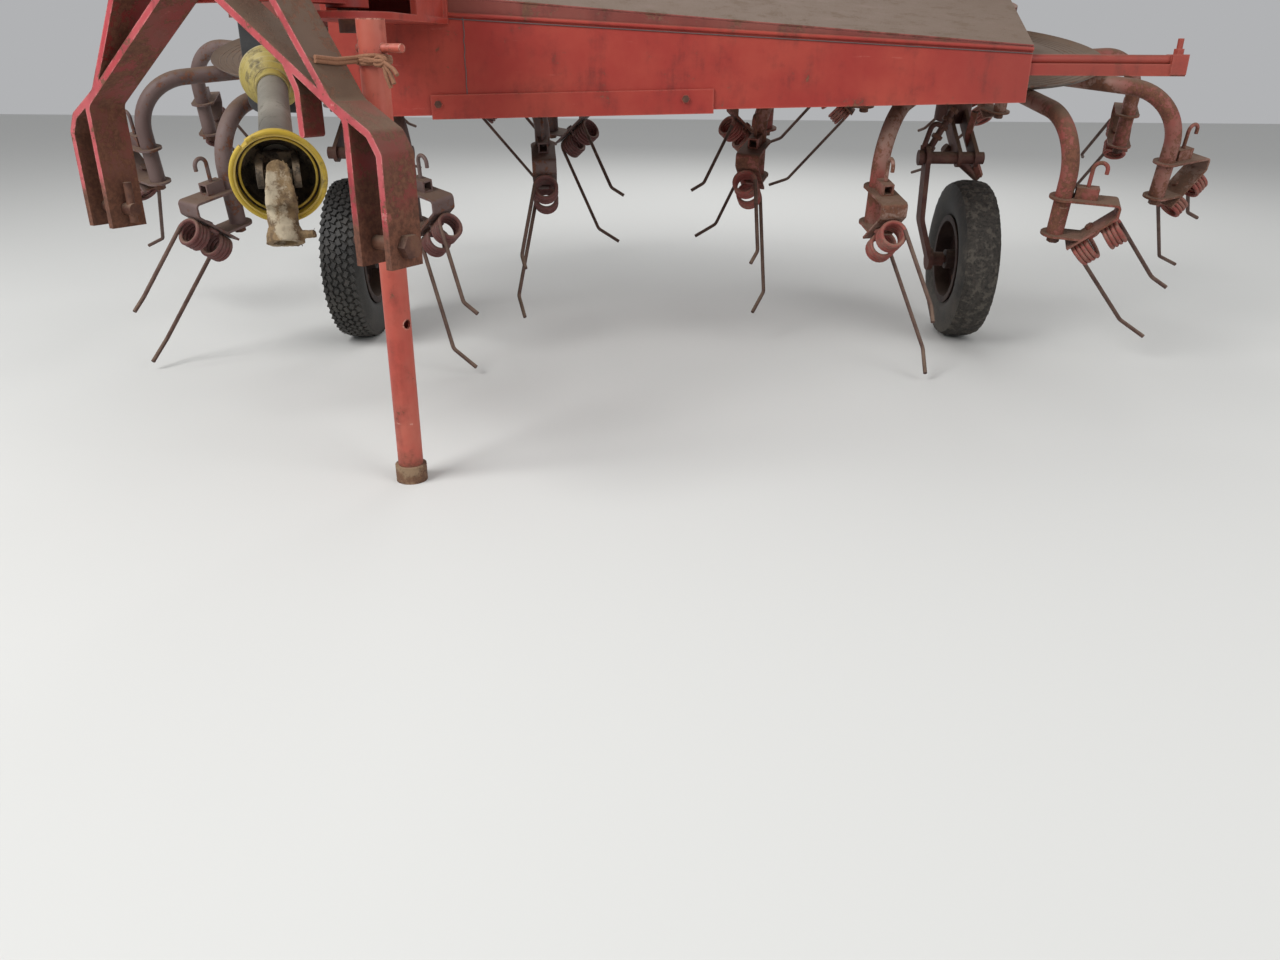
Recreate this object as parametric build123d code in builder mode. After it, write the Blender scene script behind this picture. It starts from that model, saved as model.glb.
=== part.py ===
from build123d import *
from math import atan2, cos, degrees, radians, sin, sqrt, tan
import os

# Mounted hay tedder with two side-by-side rotors, parked on its two wheels and its jack.
# Millimetres, +X to the right as seen from the tractor, +Y to the rear, +Z up, floor at Z = 0.
# The origin is under the middle of the whole machine, halfway between the rotors.

# Whole machine
rotor_spacing = 1586.0
rotor_line_y = 333.0
rotor_height = 474.0
rotor_tilt = 12.4
clearance = 0.3
running_gap = 6.0

# Rotor: heights are along the rotor axis, from the middle of the arms' stubs
arm_count = 8
arm_diameter = 38.0
arm_wall = 3.5
arm_run_height = 200.0
arm_bend_radius = 130.0
stub_radius = 540.0
stub_below = 52.0
hub_bore = 51.0
hub_radius = 46.0
hub_bottom = 120.0
arm_start = 74.0
flange_radius = 155.0
flange_thickness = 8.0
dish_radius = 345.0
dish_sheet = 2.5
dish_ridge = 7.0

# Tine carrier: a folded bracket that turns on the stub
carrier_sheet = 5.0
carrier_half_width = 30.0
lug_radius = 31.0
lug_top = 39.0
lug_bottom = -46.0
pin_box_length = 48.0
pin_box_size = 26.0
pin_box_wall = 4.0
hook_rod = 9.0
hook_height = 42.0
hook_curl = 15.0

# Double spring tine: two coils on one axis that slopes up and away from the stub
tine_wire = 9.5
coil_radius = 27.0
coil_out = 99.0
coil_drop = 55.5
coil_slope = 43.0
coil_half_length = 58.0
coil_gap = 16.0
long_tine = 250.0
long_tip = 70.0
short_tine = 182.0
short_tip = 42.0
tine_bend_radius = 22.0
tine_lag = 13.5
tine_lean = -4.0
tip_lag = -11.0
tip_lean = 19.6

# Angle of the first arm, and how far each carrier is turned back from its arm, as it stands
ROTOR_A = {"first_arm": -109.6, "turns": (9, -24, 63, 54, 58, 58, 58, 58)}
ROTOR_B = {"first_arm": -120.4, "turns": (40, 60, 58, 58, 58, 58, 58, 58)}

# Gearboxes and the fixed posts that carry the wheels
post_diameter = 50.0
collar_diameter = 92.0
collar_height = 52.0
gearbox_width = 170.0
gearbox_length = 220.0
gearbox_height = 78.0
gearbox_neck = 66.0
beam_size = 70.0
beam_wall = 5.0
rail_offset = 80.0
rail_width = 56.0
rail_height = 66.0

# Wheels and their legs: each wheel has its place inward of its rotor's axis and ahead of the rotor line
wheel_diameter = 400.0
tyre_width = 95.0
rim_diameter = 203.0
rim_width = 86.0
WHEELS = {"a": {"inward": 38.0, "ahead": 286.0}, "b": {"inward": -16.0, "ahead": 208.0}}
axle_diameter = 20.0
wheel_hub_diameter = 48.0
leg_width = 45.0
leg_thickness = 12.0
leg_inset = 84.0
leg_bulge = 116.0
leg_bend_radius = 60.0
strut_spacing = 42.0
strut_thickness = 10.0
strut_reach = 196.0
strut_end_height = 452.0
cross_tube_diameter = 30.0

# Housing: deep front skirt that tapers to the right, and a tilted deck over both rotors
skirt_ahead = 555.0
skirt_left = -690.0
skirt_right = 800.0
skirt_bottom_left = 559.0
skirt_bottom_right = 600.0
skirt_top_left = 777.0
skirt_top_right = 704.0
skirt_sheet = 4.0
skirt_lip = 26.0
deck_left = -900.0
deck_corner_height = 714.0
deck_fall = 0.0709
deck_depth = 700.0
deck_flare = 120.0
deck_sheet = 3.0
deck_skirt_left = 757.0
rear_skirt_depth = 60.0
angle_left = -480.0
angle_right = 132.0
angle_height = 50.0
angle_foot = 38.0
angle_sheet = 6.0
rail_end = 1130.0
rail_bar = 20.0
rail_block = 34.0

# Swivel headstock, in its own frame: across to the right, ahead of the pivot, up
pivot_x = -536.0
pivot_ahead = 926.0
head_yaw = -30.0
mast_ahead = 292.0
hitch_spread = 683.0
clevis_gap = 48.0
plate_thickness = 12.0
bar_width = 66.0
plate_bottom = 398.0
pin_height = 430.0
lower_pin_diameter = 22.0
top_link_height = 1022.0
ear_margin = 28.0
top_link_gap = 46.0
top_pin_diameter = 19.0
apex_height = 818.0
eye_diameter = 74.0
eye_bottom = 764.0
eye_height = 92.0
back_plate_half = 108.0
swivel_arm_width = 50.0
strap_across = 219.0
strap_bottom = 577.0
strap_width = 40.0
linch_pin_diameter = 14.0
linch_pin_height = 70.0
pivot_pin_diameter = 36.0
bracket_sheet = 12.0
bracket_nose = 84.0
bracket_half_width = 104.0

# Parking jack
jack_across = 269.0
jack_behind = 76.5
jack_diameter = 43.0
jack_wall = 4.0
jack_height = 740.0
jack_foot_diameter = 54.0
jack_foot_height = 30.0
sleeve_bottom = 432.0
sleeve_top = 548.0
sleeve_diameter = 56.0
jack_hole_height = 282.0
jack_pin_height = 700.0
jack_pin_diameter = 13.0

# Drive shaft with its guards, parked hanging from the input shaft
shaft_front = (-614.0, -1150.0, 503.0)
shaft_rear = (-820.0, -566.0, 642.0)
guard_tube_diameter = 60.0
guard_wall = 3.0
bearing_length = 14.0
bell_diameter = 156.0
cone_diameter = 132.0
yoke_length = 112.0
yoke_neck = 52.0
yoke_back = 56.0
yoke_ear = 29.0
ear_thickness = 12.0
ear_width = 38.0
yoke_collar = 64.0
yoke_collar_length = 26.0
quick_pin_diameter = 15.0
quick_pin_reach = 20.0
spline_diameter = 34.9
spline_depth = 50.0
joint_pin_diameter = 22.0
input_diameter = 34.0
shield_gap = 34.0
shield_width = 144.0
shield_drop = 75.0
shield_corner = 25.0
shield_hole = 104.0
shield_sheet = 4.0

os.makedirs("parts", exist_ok=True)

# Values worked out from the sizes above
tilt = radians(rotor_tilt)
rotor_x = rotor_spacing / 2
wheel_radius = wheel_diameter / 2
skirt_y = rotor_line_y - skirt_ahead
deck_rise = tan(tilt)
flange_top = arm_run_height - arm_diameter / 2 - clearance
dish_height = arm_run_height + arm_diameter / 2 + clearance + dish_sheet / 2
hub_top = dish_height + dish_sheet / 2 + dish_ridge + 16
gearbox_bottom = hub_top + running_gap
post_bottom = hub_bottom - running_gap
clevis_centre = hitch_spread / 2
inner_plate = clevis_centre - clevis_gap / 2 - plate_thickness / 2
outer_plate = clevis_centre + clevis_gap / 2 + plate_thickness / 2


def save(part, label):
    """Label one finished piece and write its file."""
    part.label = label
    export_step(part, f"parts/{label}.step")


def rotor_plane(x):
    """The rotor's own frame: origin between the stubs, +Z up the tilted rotor axis."""
    return Plane(origin=(x, rotor_line_y, rotor_height), x_dir=(1, 0, 0), z_dir=(0, -sin(tilt), cos(tilt)))


plane_a = rotor_plane(-rotor_x)
plane_b = rotor_plane(rotor_x)

# Joints of the drive shaft, and how high the input shaft lies along the rotor axis
front = Vector(shaft_front[0], rotor_line_y + shaft_front[1], shaft_front[2])
rear = Vector(shaft_rear[0], rotor_line_y + shaft_rear[1], shaft_rear[2])
input_rise = (rear - plane_a.origin).dot(plane_a.z_dir)

# Deck plane: its origin is the front right corner of the housing
deck_plane = Plane(
    origin=(skirt_right, skirt_y, deck_corner_height),
    x_dir=(1, 0, -deck_fall),
    z_dir=(deck_fall, -deck_rise, 1),
)


def deck_height(x, y):
    """Height of the deck's upper face above the floor."""
    return deck_corner_height + deck_fall * (skirt_right - x) + deck_rise * (y - skirt_y)


# Rotor dish: hub with the clamp flange under the arms and the ridged dish over them
with BuildPart() as dish:
    with BuildSketch(Plane.XZ):
        with Locations((0, hub_bottom)):
            Rectangle(hub_radius, hub_top - hub_bottom, align=(Align.MIN, Align.MIN))
        with Locations((0, flange_top - flange_thickness)):
            Rectangle(arm_start - clearance, hub_top - flange_top + flange_thickness, align=(Align.MIN, Align.MIN))
        with Locations((0, flange_top)):
            Rectangle(flange_radius, flange_thickness, align=(Align.MIN, Align.MAX))
        with BuildLine():
            Polyline(
                (arm_start - 8, dish_height),
                (0.42 * dish_radius, dish_height),
                (0.46 * dish_radius, dish_height + dish_ridge),
                (0.70 * dish_radius, dish_height + dish_ridge),
                (0.74 * dish_radius, dish_height),
                (0.96 * dish_radius, dish_height),
                (dish_radius, dish_height + dish_ridge + dish_sheet),
            )
        trace(line_width=dish_sheet)
        with Locations((0, hub_bottom)):
            Rectangle(hub_bore / 2, hub_top - hub_bottom, align=(Align.MIN, Align.MIN), mode=Mode.SUBTRACT)
    revolve(axis=Axis.Z)

# One arm: a tube that runs out from the hub and bends down into the stub
with BuildPart() as arm:
    with BuildLine(Plane.XZ) as arm_path:
        FilletPolyline(
            (arm_start, arm_run_height),
            (stub_radius, arm_run_height),
            (stub_radius, -stub_below),
            radius=arm_bend_radius,
        )
    with BuildSketch(Plane(origin=arm_path.line @ 0, z_dir=arm_path.line % 0)):
        Circle(arm_diameter / 2)
        Circle(arm_diameter / 2 - arm_wall, mode=Mode.SUBTRACT)
    sweep(path=arm_path.line)

# Directions in the carrier's frame: X away from the stub, Y to the trailing side, Z up
slope = radians(coil_slope)
coil_axis = Vector(cos(slope), 0, sin(slope))
coil_down = Vector(sin(slope), 0, -cos(slope))
trailing = Vector(0, 1, 0)
coil_centre = Vector(coil_out, 0, -coil_drop)
coil_outer = coil_radius + tine_wire / 2 + 0.5
face_centre = coil_centre - coil_down * (coil_outer + clearance + carrier_sheet / 2)


def tine_direction(lag, lean):
    """Unit direction turned from straight down by lag, to the trailing side, and lean, along the coil."""
    across = coil_down * cos(radians(lag)) + trailing * sin(radians(lag))
    return across * cos(radians(lean)) + coil_axis * sin(radians(lean))


# Tine carrier, built for a rotor that trails to +Y
face_top = face_centre + coil_axis * (coil_half_length + 2)
face_foot = face_centre - coil_axis * (coil_half_length + 2)
face_meets_lug = face_centre + coil_axis * ((lug_bottom - face_centre.Z) / coil_axis.Z)
hook_x = arm_diameter / 2 + 3 + pin_box_length / 2
with BuildPart() as carrier:
    with BuildSketch(Plane.XZ):
        with BuildLine():
            FilletPolyline(
                (-lug_radius, lug_top),
                (face_top.X, lug_top),
                (face_top.X, face_top.Z),
                (face_foot.X, face_foot.Z),
                radius=8,
            )
        trace(line_width=carrier_sheet)
        with BuildLine():
            Line((-lug_radius, lug_bottom), (face_meets_lug.X, lug_bottom))
        trace(line_width=carrier_sheet)
    extrude(amount=lug_radius, both=True)
    with BuildSketch(Plane.XY.offset(face_foot.Z - coil_outer)):
        Circle(lug_radius)
        with Locations((0, 0)):
            Rectangle(face_top.X + 20, 2 * carrier_half_width, align=(Align.MIN, Align.CENTER))
    extrude(amount=lug_top - face_foot.Z + 2 * coil_outer, mode=Mode.INTERSECT)
    with BuildSketch(Plane.XY.offset(-stub_radius)):
        Circle(arm_diameter / 2 + clearance)
    extrude(amount=2 * stub_radius, mode=Mode.SUBTRACT)
    with BuildSketch(Plane.YZ.offset(arm_diameter / 2 + 3)):
        with Locations((0, lug_top + (carrier_sheet + pin_box_size) / 2 - 0.5)):
            Rectangle(pin_box_size, pin_box_size)
            Rectangle(pin_box_size - 2 * pin_box_wall, pin_box_size - 2 * pin_box_wall, mode=Mode.SUBTRACT)
    extrude(amount=pin_box_length)
    with BuildLine(Plane.XZ) as hook_path:
        hook_foot = (hook_x, lug_top + pin_box_size / 2)
        hook_top = (hook_x, lug_top + pin_box_size + hook_height)
        rise = Line(hook_foot, hook_top)
        curl = TangentArc(hook_top, (hook_x + 2 * hook_curl, hook_top[1]), tangent=rise % 1)
        Line(curl @ 1, (hook_x + 2 * hook_curl, hook_top[1] - hook_rod))
    with BuildSketch(Plane(origin=hook_path.line @ 0, z_dir=hook_path.line % 0)):
        Circle(hook_rod / 2)
    sweep(path=hook_path.line)
    bolt_plane = Plane(origin=face_centre, x_dir=coil_axis, z_dir=-coil_down)
    with BuildSketch(bolt_plane):
        with Locations((0, tine_wire / 2 + 6)):
            RegularPolygon(9, 6)
    extrude(amount=carrier_sheet / 2 + 8)
    with BuildSketch(bolt_plane):
        with Locations((0, tine_wire / 2 + 6)):
            Circle(5)
    extrude(amount=-(carrier_sheet / 2 + tine_wire + 4 * clearance + 4))
    with BuildSketch(bolt_plane.offset(-(carrier_sheet / 2 + tine_wire + 3 * clearance))):
        with Locations((0, tine_wire / 2)):
            Rectangle(coil_gap - 4, 26)
    extrude(amount=-4)

# Double spring tine: the coils' turns are worked as one sleeve each, the wire ends as round rod
with BuildPart() as spring:
    coil_length = coil_half_length - coil_gap / 2
    for side in (-1, 1):
        start = coil_centre + coil_axis * (side * coil_gap / 2)
        with BuildSketch(Plane(origin=start, z_dir=coil_axis * side)):
            Circle(coil_outer)
            Circle(coil_outer - tine_wire - 1, mode=Mode.SUBTRACT)
        extrude(amount=coil_length)
    bridge_start = coil_centre - coil_down * coil_radius - coil_axis * (coil_gap / 2 + 2)
    with BuildSketch(Plane(origin=bridge_start, z_dir=coil_axis)):
        Circle(tine_wire / 2)
    extrude(amount=coil_gap + 4)
    down = tine_direction(tine_lag, tine_lean)
    tip = tine_direction(tip_lag, tip_lean)
    leave = coil_axis.cross(down).normalized()
    # Each wire end: side of the pair it leaves from, length to the bend, length of the tip
    for side, length, tip_length in ((-1, long_tine, long_tip), (1, short_tine, short_tip)):
        root = coil_centre + coil_axis * (side * (coil_half_length - tine_wire / 2)) + leave * coil_radius
        bend = root + down * length
        end = bend + tip * tip_length
        with BuildLine() as wire_path:
            FilletPolyline(root, bend, end, radius=tine_bend_radius)
        with BuildSketch(Plane(origin=wire_path.line @ 0, z_dir=wire_path.line % 0)):
            Circle(tine_wire / 2)
        sweep(path=wire_path.line)

with BuildPart() as carrier_left:
    mirror(carrier.part, about=Plane.XZ)
with BuildPart() as spring_left:
    mirror(spring.part, about=Plane.XZ)


def arm_places(plane, first_arm):
    """Where the arms sit, turned evenly about the rotor axis."""
    step = 360 / arm_count
    return [plane.location * Location((0, 0, 0), (0, 0, first_arm + step * n)) for n in range(arm_count)]


def carrier_places(plane, rotor, trail):
    """Where the carriers sit: on the stubs, each turned back to the trailing side by its own angle."""
    places = []
    for place, turn in zip(arm_places(plane, rotor["first_arm"]), rotor["turns"]):
        places.append(place * Location((stub_radius, 0, 0), (0, 0, trail * turn)))
    return places


# The two rotors: name, frame, arm layout, trailing sense, carrier and spring of its own hand
ROTORS = (
    ("a", plane_a, ROTOR_A, -1, carrier_left, spring_left),
    ("b", plane_b, ROTOR_B, 1, carrier, spring),
)
for name, plane, rotor, trail, own_carrier, own_spring in ROTORS:
    with BuildPart() as rotor_dish:
        with Locations(plane.location):
            add(dish.part)
    save(rotor_dish.part, f"rotor_dish_{name}")
    with BuildPart() as rotor_arms:
        with Locations(*arm_places(plane, rotor["first_arm"])):
            add(arm.part)
    save(rotor_arms.part, f"rotor_arms_{name}")
    with BuildPart() as tine_carriers:
        with Locations(*carrier_places(plane, rotor, trail)):
            add(own_carrier.part)
    save(tine_carriers.part, f"tine_carriers_{name}")
    with BuildPart() as spring_tines:
        with Locations(*carrier_places(plane, rotor, trail)):
            add(own_spring.part)
    save(spring_tines.part, f"spring_tines_{name}")

# Gearboxes: neck over the rotor hub, oval case, block that carries the deck
deck_under = deck_plane.offset(-deck_sheet - clearance)
for name, plane in (("a", plane_a), ("b", plane_b)):
    case_top = gearbox_bottom + gearbox_neck * 0.3 + gearbox_height
    with BuildPart() as gearbox:
        with BuildSketch(plane.offset(gearbox_bottom)):
            Circle(arm_start + 12)
        extrude(amount=gearbox_neck * 0.3)
        with BuildSketch(plane.offset(gearbox_bottom + gearbox_neck * 0.3)):
            SlotOverall(gearbox_length, gearbox_width)
        extrude(amount=gearbox_height)
        with BuildSketch(plane.offset(case_top)):
            with Locations((-gearbox_width / 4, 0), (gearbox_width / 4, 0)):
                Rectangle(bracket_sheet, gearbox_width * 0.6)
        extrude(amount=gearbox_width)
        with BuildSketch(plane.offset(gearbox_bottom)):
            Circle(post_diameter / 2)
        extrude(amount=-(gearbox_bottom - post_bottom + clearance))
        if name == "a":
            boss_frame = plane.offset(input_rise)
            boss_start = boss_frame.from_local_coords((rear.X + rotor_x, -gearbox_width / 4, 0))
            with BuildSketch(Plane(origin=boss_start, z_dir=(0, -cos(tilt), -sin(tilt)))):
                Circle(input_diameter / 2 + 14)
            extrude(amount=gearbox_width / 4 + 16)
        split(bisect_by=deck_under, keep=Keep.BOTTOM)
    save(gearbox.part, f"gearbox_{name}")

# Beam between the gearboxes, parallel to the rotor line
beam_centre = gearbox_bottom + gearbox_neck * 0.3 + gearbox_height / 2
beam_start = -rotor_x + gearbox_length / 2 + clearance
with BuildPart() as cross_beam:
    beam_origin = plane_a.offset(beam_centre).origin
    with BuildSketch(Plane(origin=(beam_start, beam_origin.Y, beam_origin.Z), x_dir=plane_a.y_dir, z_dir=(1, 0, 0))):
        RectangleRounded(beam_size, beam_size, 6)
        RectangleRounded(beam_size - 2 * beam_wall, beam_size - 2 * beam_wall, 2, mode=Mode.SUBTRACT)
    extrude(amount=-2 * beam_start)
save(cross_beam.part, "cross_beam")

# Two rails that rest on the beam and run forward to the skirt, in line with the front bracket
rail_foot = beam_centre + beam_size / 2 + clearance
with BuildPart() as frame_rails:
    rail_plane = plane_a.offset(rail_foot)
    for side in (-1, 1):
        middle = rail_plane.from_local_coords((pivot_x + rotor_x + side * rail_offset, beam_size, rail_height / 2))
        with BuildSketch(Plane(origin=middle, x_dir=(1, 0, 0), z_dir=-plane_a.y_dir)):
            RectangleRounded(rail_width, rail_height, 6)
            RectangleRounded(rail_width - 2 * beam_wall, rail_height - 2 * beam_wall, 2, mode=Mode.SUBTRACT)
        extrude(amount=skirt_ahead + beam_size)
    rail_stop = Plane(origin=(0, skirt_y + skirt_lip + clearance, 0), z_dir=(0, 1, 0))
    split(bisect_by=rail_stop, keep=Keep.TOP)
save(frame_rails.part, "frame_rails")

# Wheel legs: collar under the rotor, two struts forward, cross tube, bent leg and fixed axle
collar_middle = plane_b.offset(post_bottom - collar_height / 2).origin
strut_y = rotor_line_y - strut_reach


def wheel_leg(wheel):
    """One leg as it stands on the right side, for a wheel at its own place."""
    wheel_x = rotor_x - wheel["inward"]
    wheel_y = rotor_line_y - wheel["ahead"]
    leg_x = wheel_x - leg_bulge
    axle_x = wheel_x - leg_inset
    with BuildPart() as leg:
        with BuildSketch(plane_b.offset(post_bottom - clearance)):
            Circle(collar_diameter / 2)
        extrude(amount=-collar_height)
        for offset_x in (-strut_spacing / 2, strut_spacing / 2):
            with BuildSketch(Plane.YZ.offset(rotor_x + offset_x)):
                with BuildLine():
                    Line((collar_middle.Y, collar_middle.Z), (strut_y, strut_end_height))
                trace(line_width=leg_width)
                with Locations((strut_y, strut_end_height)):
                    Circle(leg_width / 2)
            extrude(amount=strut_thickness / 2, both=True)
        tube_start = leg_x - leg_thickness
        with BuildSketch(Plane(origin=(tube_start, strut_y, strut_end_height), z_dir=(1, 0, 0))):
            Circle(cross_tube_diameter / 2)
        extrude(amount=rotor_x + strut_spacing - tube_start)
        leg_points = (
            (leg_x, strut_y, strut_end_height),
            (leg_x, (strut_y + wheel_y) / 2, wheel_radius + wheel_diameter / 4),
            (axle_x, wheel_y, wheel_radius),
        )
        with BuildLine() as leg_path:
            FilletPolyline(*leg_points, radius=leg_bend_radius)
        leg_section = Plane(origin=leg_path.line @ 0, x_dir=(1, 0, 0), z_dir=leg_path.line % 0)
        with BuildSketch(leg_section):
            Rectangle(leg_thickness, leg_width)
        sweep(path=leg_path.line)
        for centre in (leg_points[0], leg_points[-1]):
            with BuildSketch(Plane(origin=centre, z_dir=(1, 0, 0))):
                Circle(leg_width / 2 + 6)
            extrude(amount=leg_thickness / 2, both=True)
        with BuildSketch(Plane(origin=(axle_x, wheel_y, wheel_radius), z_dir=(1, 0, 0))):
            Circle(axle_diameter / 2)
        extrude(amount=leg_inset + rim_width / 2 + 16)
        spacer_end = wheel_x - rim_width / 2 - running_gap
        with BuildSketch(Plane(origin=(axle_x, wheel_y, wheel_radius), z_dir=(1, 0, 0))):
            Circle(axle_diameter / 2 + 8)
        extrude(amount=spacer_end - axle_x)
        with BuildSketch(Plane(origin=(wheel_x + rim_width / 2 + 1, wheel_y, wheel_radius), z_dir=(1, 0, 0))):
            RegularPolygon(axle_diameter / 2 + 7, 6)
        extrude(amount=12)
        with BuildSketch(Plane(origin=(tube_start + 2, strut_y, strut_end_height), z_dir=(-1, 0, 0))):
            Circle(cross_tube_diameter / 2 + 4)
        extrude(amount=12)
    return leg.part


with BuildPart() as leg_left:
    mirror(wheel_leg(WHEELS["a"]), about=Plane.YZ)
save(leg_left.part, "wheel_leg_a")
save(wheel_leg(WHEELS["b"]), "wheel_leg_b")

# Wheels: tyre with rounded walls on a pressed rim with a hub
rim_radius = rim_diameter / 2
bead_half = tyre_width * 0.30
shoulder = wheel_radius - 14
for name, side in (("a", -1), ("b", 1)):
    wheel = WHEELS[name]
    hub_centre = (side * (rotor_x - wheel["inward"]), rotor_line_y - wheel["ahead"], wheel_radius)
    wheel_axis = Axis(hub_centre, (1, 0, 0))
    section = Plane(origin=hub_centre, x_dir=(0, 0, 1), z_dir=(0, 1, 0))
    # Right half of the tyre's section, from bead to crown: radius, distance from the wheel's middle
    half_section = (
        (rim_radius, bead_half),
        (rim_radius + 14, tyre_width * 0.44),
        ((rim_radius + shoulder) / 2, tyre_width / 2),
        (shoulder - 12, tyre_width * 0.485),
        (shoulder, tyre_width * 0.43),
        (wheel_radius - 4, tyre_width * 0.28),
        (wheel_radius, tyre_width * 0.08),
    )
    with BuildPart() as tyre:
        with BuildSketch(section):
            with BuildLine():
                Polyline(*half_section, *[(radius, -half) for radius, half in reversed(half_section)], close=True)
            make_face()
        revolve(axis=wheel_axis)
    save(tyre.part, f"tyre_{name}")
    with BuildPart() as rim:
        with BuildSketch(section):
            with Locations((rim_radius - clearance, 0)):
                Rectangle(5, rim_width, align=(Align.MAX, Align.CENTER))
            for edge in (-1, 1):
                with Locations((rim_radius - 4, edge * (rim_width / 2 - 1.5))):
                    Rectangle(14, 3, align=(Align.MIN, Align.CENTER))
            with Locations((axle_diameter / 2 + 0.5, 0)):
                inner = wheel_hub_diameter / 2 - axle_diameter / 2
                Rectangle(inner, rim_width, align=(Align.MIN, Align.CENTER))
            with Locations((wheel_hub_diameter / 2 - 2, 0)):
                Rectangle(rim_radius - wheel_hub_diameter / 2, 5, align=(Align.MIN, Align.CENTER))
        revolve(axis=wheel_axis)
    save(rim.part, f"rim_{name}")

# Front skirt: tapered plate with a lip along its top and a return along its bottom
skirt_outline = (
    (skirt_left, skirt_bottom_left),
    (skirt_right, skirt_bottom_right),
    (skirt_right, skirt_top_right),
    (skirt_left, skirt_top_left),
)
with BuildPart() as front_skirt:
    skirt_plane = Plane(origin=(0, skirt_y, 0), x_dir=(1, 0, 0), z_dir=(0, -1, 0))
    with BuildSketch(skirt_plane):
        with BuildLine():
            Polyline(*skirt_outline, close=True)
        make_face()
    extrude(amount=-skirt_sheet)
    with BuildSketch(skirt_plane):
        with BuildLine():
            Line(skirt_outline[3], skirt_outline[2])
        trace(line_width=skirt_sheet)
    extrude(amount=-skirt_lip)
    with BuildSketch(skirt_plane):
        with Locations((skirt_right - skirt_sheet, skirt_bottom_right + 2)):
            Rectangle(skirt_sheet, skirt_top_right - skirt_bottom_right, align=(Align.MIN, Align.MIN))
    extrude(amount=-skirt_lip)
save(front_skirt.part, "front_skirt")

# Deck: tilted sheet with a front flange, a rear skirt and stiffening folds at both ends
deck_length = (skirt_right - deck_left) * sqrt(1 + deck_fall**2)
with BuildPart() as deck_panel:
    with BuildSketch(deck_plane):
        with BuildLine():
            Polyline((0, 0), (deck_flare, deck_depth), (-deck_length, deck_depth), (-deck_length, 0), close=True)
        make_face()
    extrude(amount=-deck_sheet)
    front_edge = (
        (skirt_right, skirt_top_right + 3),
        (skirt_right, deck_corner_height - 1),
        (deck_left, deck_height(deck_left, skirt_y) - 1),
        (deck_left, deck_skirt_left),
        (skirt_left, deck_skirt_left),
        (skirt_left - 2, skirt_top_left + 3),
    )
    with BuildSketch(Plane(origin=(0, skirt_y + 2, 0), x_dir=(1, 0, 0), z_dir=(0, -1, 0))):
        with BuildLine():
            Polyline(*front_edge, close=True)
        make_face()
    extrude(amount=-deck_sheet)
    rear_start = deck_plane.from_local_coords((0, deck_depth - deck_sheet, -1))
    rear_frame = Plane(origin=rear_start, x_dir=deck_plane.x_dir, z_dir=deck_plane.y_dir)
    with BuildSketch(rear_frame):
        with Locations((deck_flare - 1, 0)):
            Rectangle(deck_length + deck_flare - 2, rear_skirt_depth, align=(Align.MAX, Align.MAX))
    extrude(amount=deck_sheet)
save(deck_panel.part, "deck_panel")

# Angle iron bolted along the bottom of the skirt
with BuildPart() as skirt_angle:
    fall = (skirt_bottom_right - skirt_bottom_left) / (skirt_right - skirt_left)
    angle_slope = degrees(atan2(fall, 1))
    angle_start = (angle_left, skirt_y - clearance, skirt_bottom_left + fall * (angle_left - skirt_left) - 8)
    angle_x = (1, 0, fall)
    angle_run = (angle_right - angle_left) * sqrt(1 + fall**2)
    angle_frame = Plane(origin=angle_start, x_dir=angle_x, z_dir=(0, -1, 0))
    with BuildSketch(angle_frame):
        Rectangle(angle_run, angle_height, align=(Align.MIN, Align.MIN))
    extrude(amount=angle_sheet)
    with BuildSketch(angle_frame):
        Rectangle(angle_run, angle_sheet, align=(Align.MIN, Align.MIN))
    extrude(amount=-angle_foot)
    with BuildSketch(angle_frame.offset(angle_sheet)):
        for along in (16, angle_run - 60):
            with Locations((along, angle_height * 0.62)):
                RegularPolygon(8, 6)
    extrude(amount=6)
save(skirt_angle.part, "skirt_angle")

# End rail beyond the right end of the skirt: round bar, flat strip, end block
rail_y = skirt_y + rail_bar
rail_z = (skirt_top_right + skirt_bottom_right) / 2 + 34
with BuildPart() as end_rail:
    rail_start = skirt_right + clearance
    with BuildSketch(Plane(origin=(rail_start, rail_y, rail_z), z_dir=(1, 0, 0))):
        Circle(rail_bar / 2)
    extrude(amount=rail_end - rail_start)
    with BuildSketch(Plane(origin=(rail_start, rail_y, rail_z - rail_bar), x_dir=(0, 1, 0), z_dir=(1, 0, 0))):
        Rectangle(rail_bar + 8, rail_bar + 4)
    extrude(amount=rail_end - rail_start)
    with BuildSketch(Plane(origin=(rail_end, rail_y, rail_z - 9), x_dir=(0, 1, 0), z_dir=(1, 0, 0))):
        Rectangle(rail_block, rail_block + 6)
    extrude(amount=-rail_block)
    with BuildSketch(Plane.XY.offset(rail_z - 9 + rail_block / 2)):
        with Locations((rail_end - rail_block / 2, rail_y)):
            Circle(6)
    extrude(amount=34)
    with BuildSketch(Plane.XY.offset(rail_z - 9 + rail_block / 2)):
        with Locations((rail_end - rail_block / 2, rail_y)):
            RegularPolygon(11, 6)
    extrude(amount=14)
save(end_rail.part, "end_rail")

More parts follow.
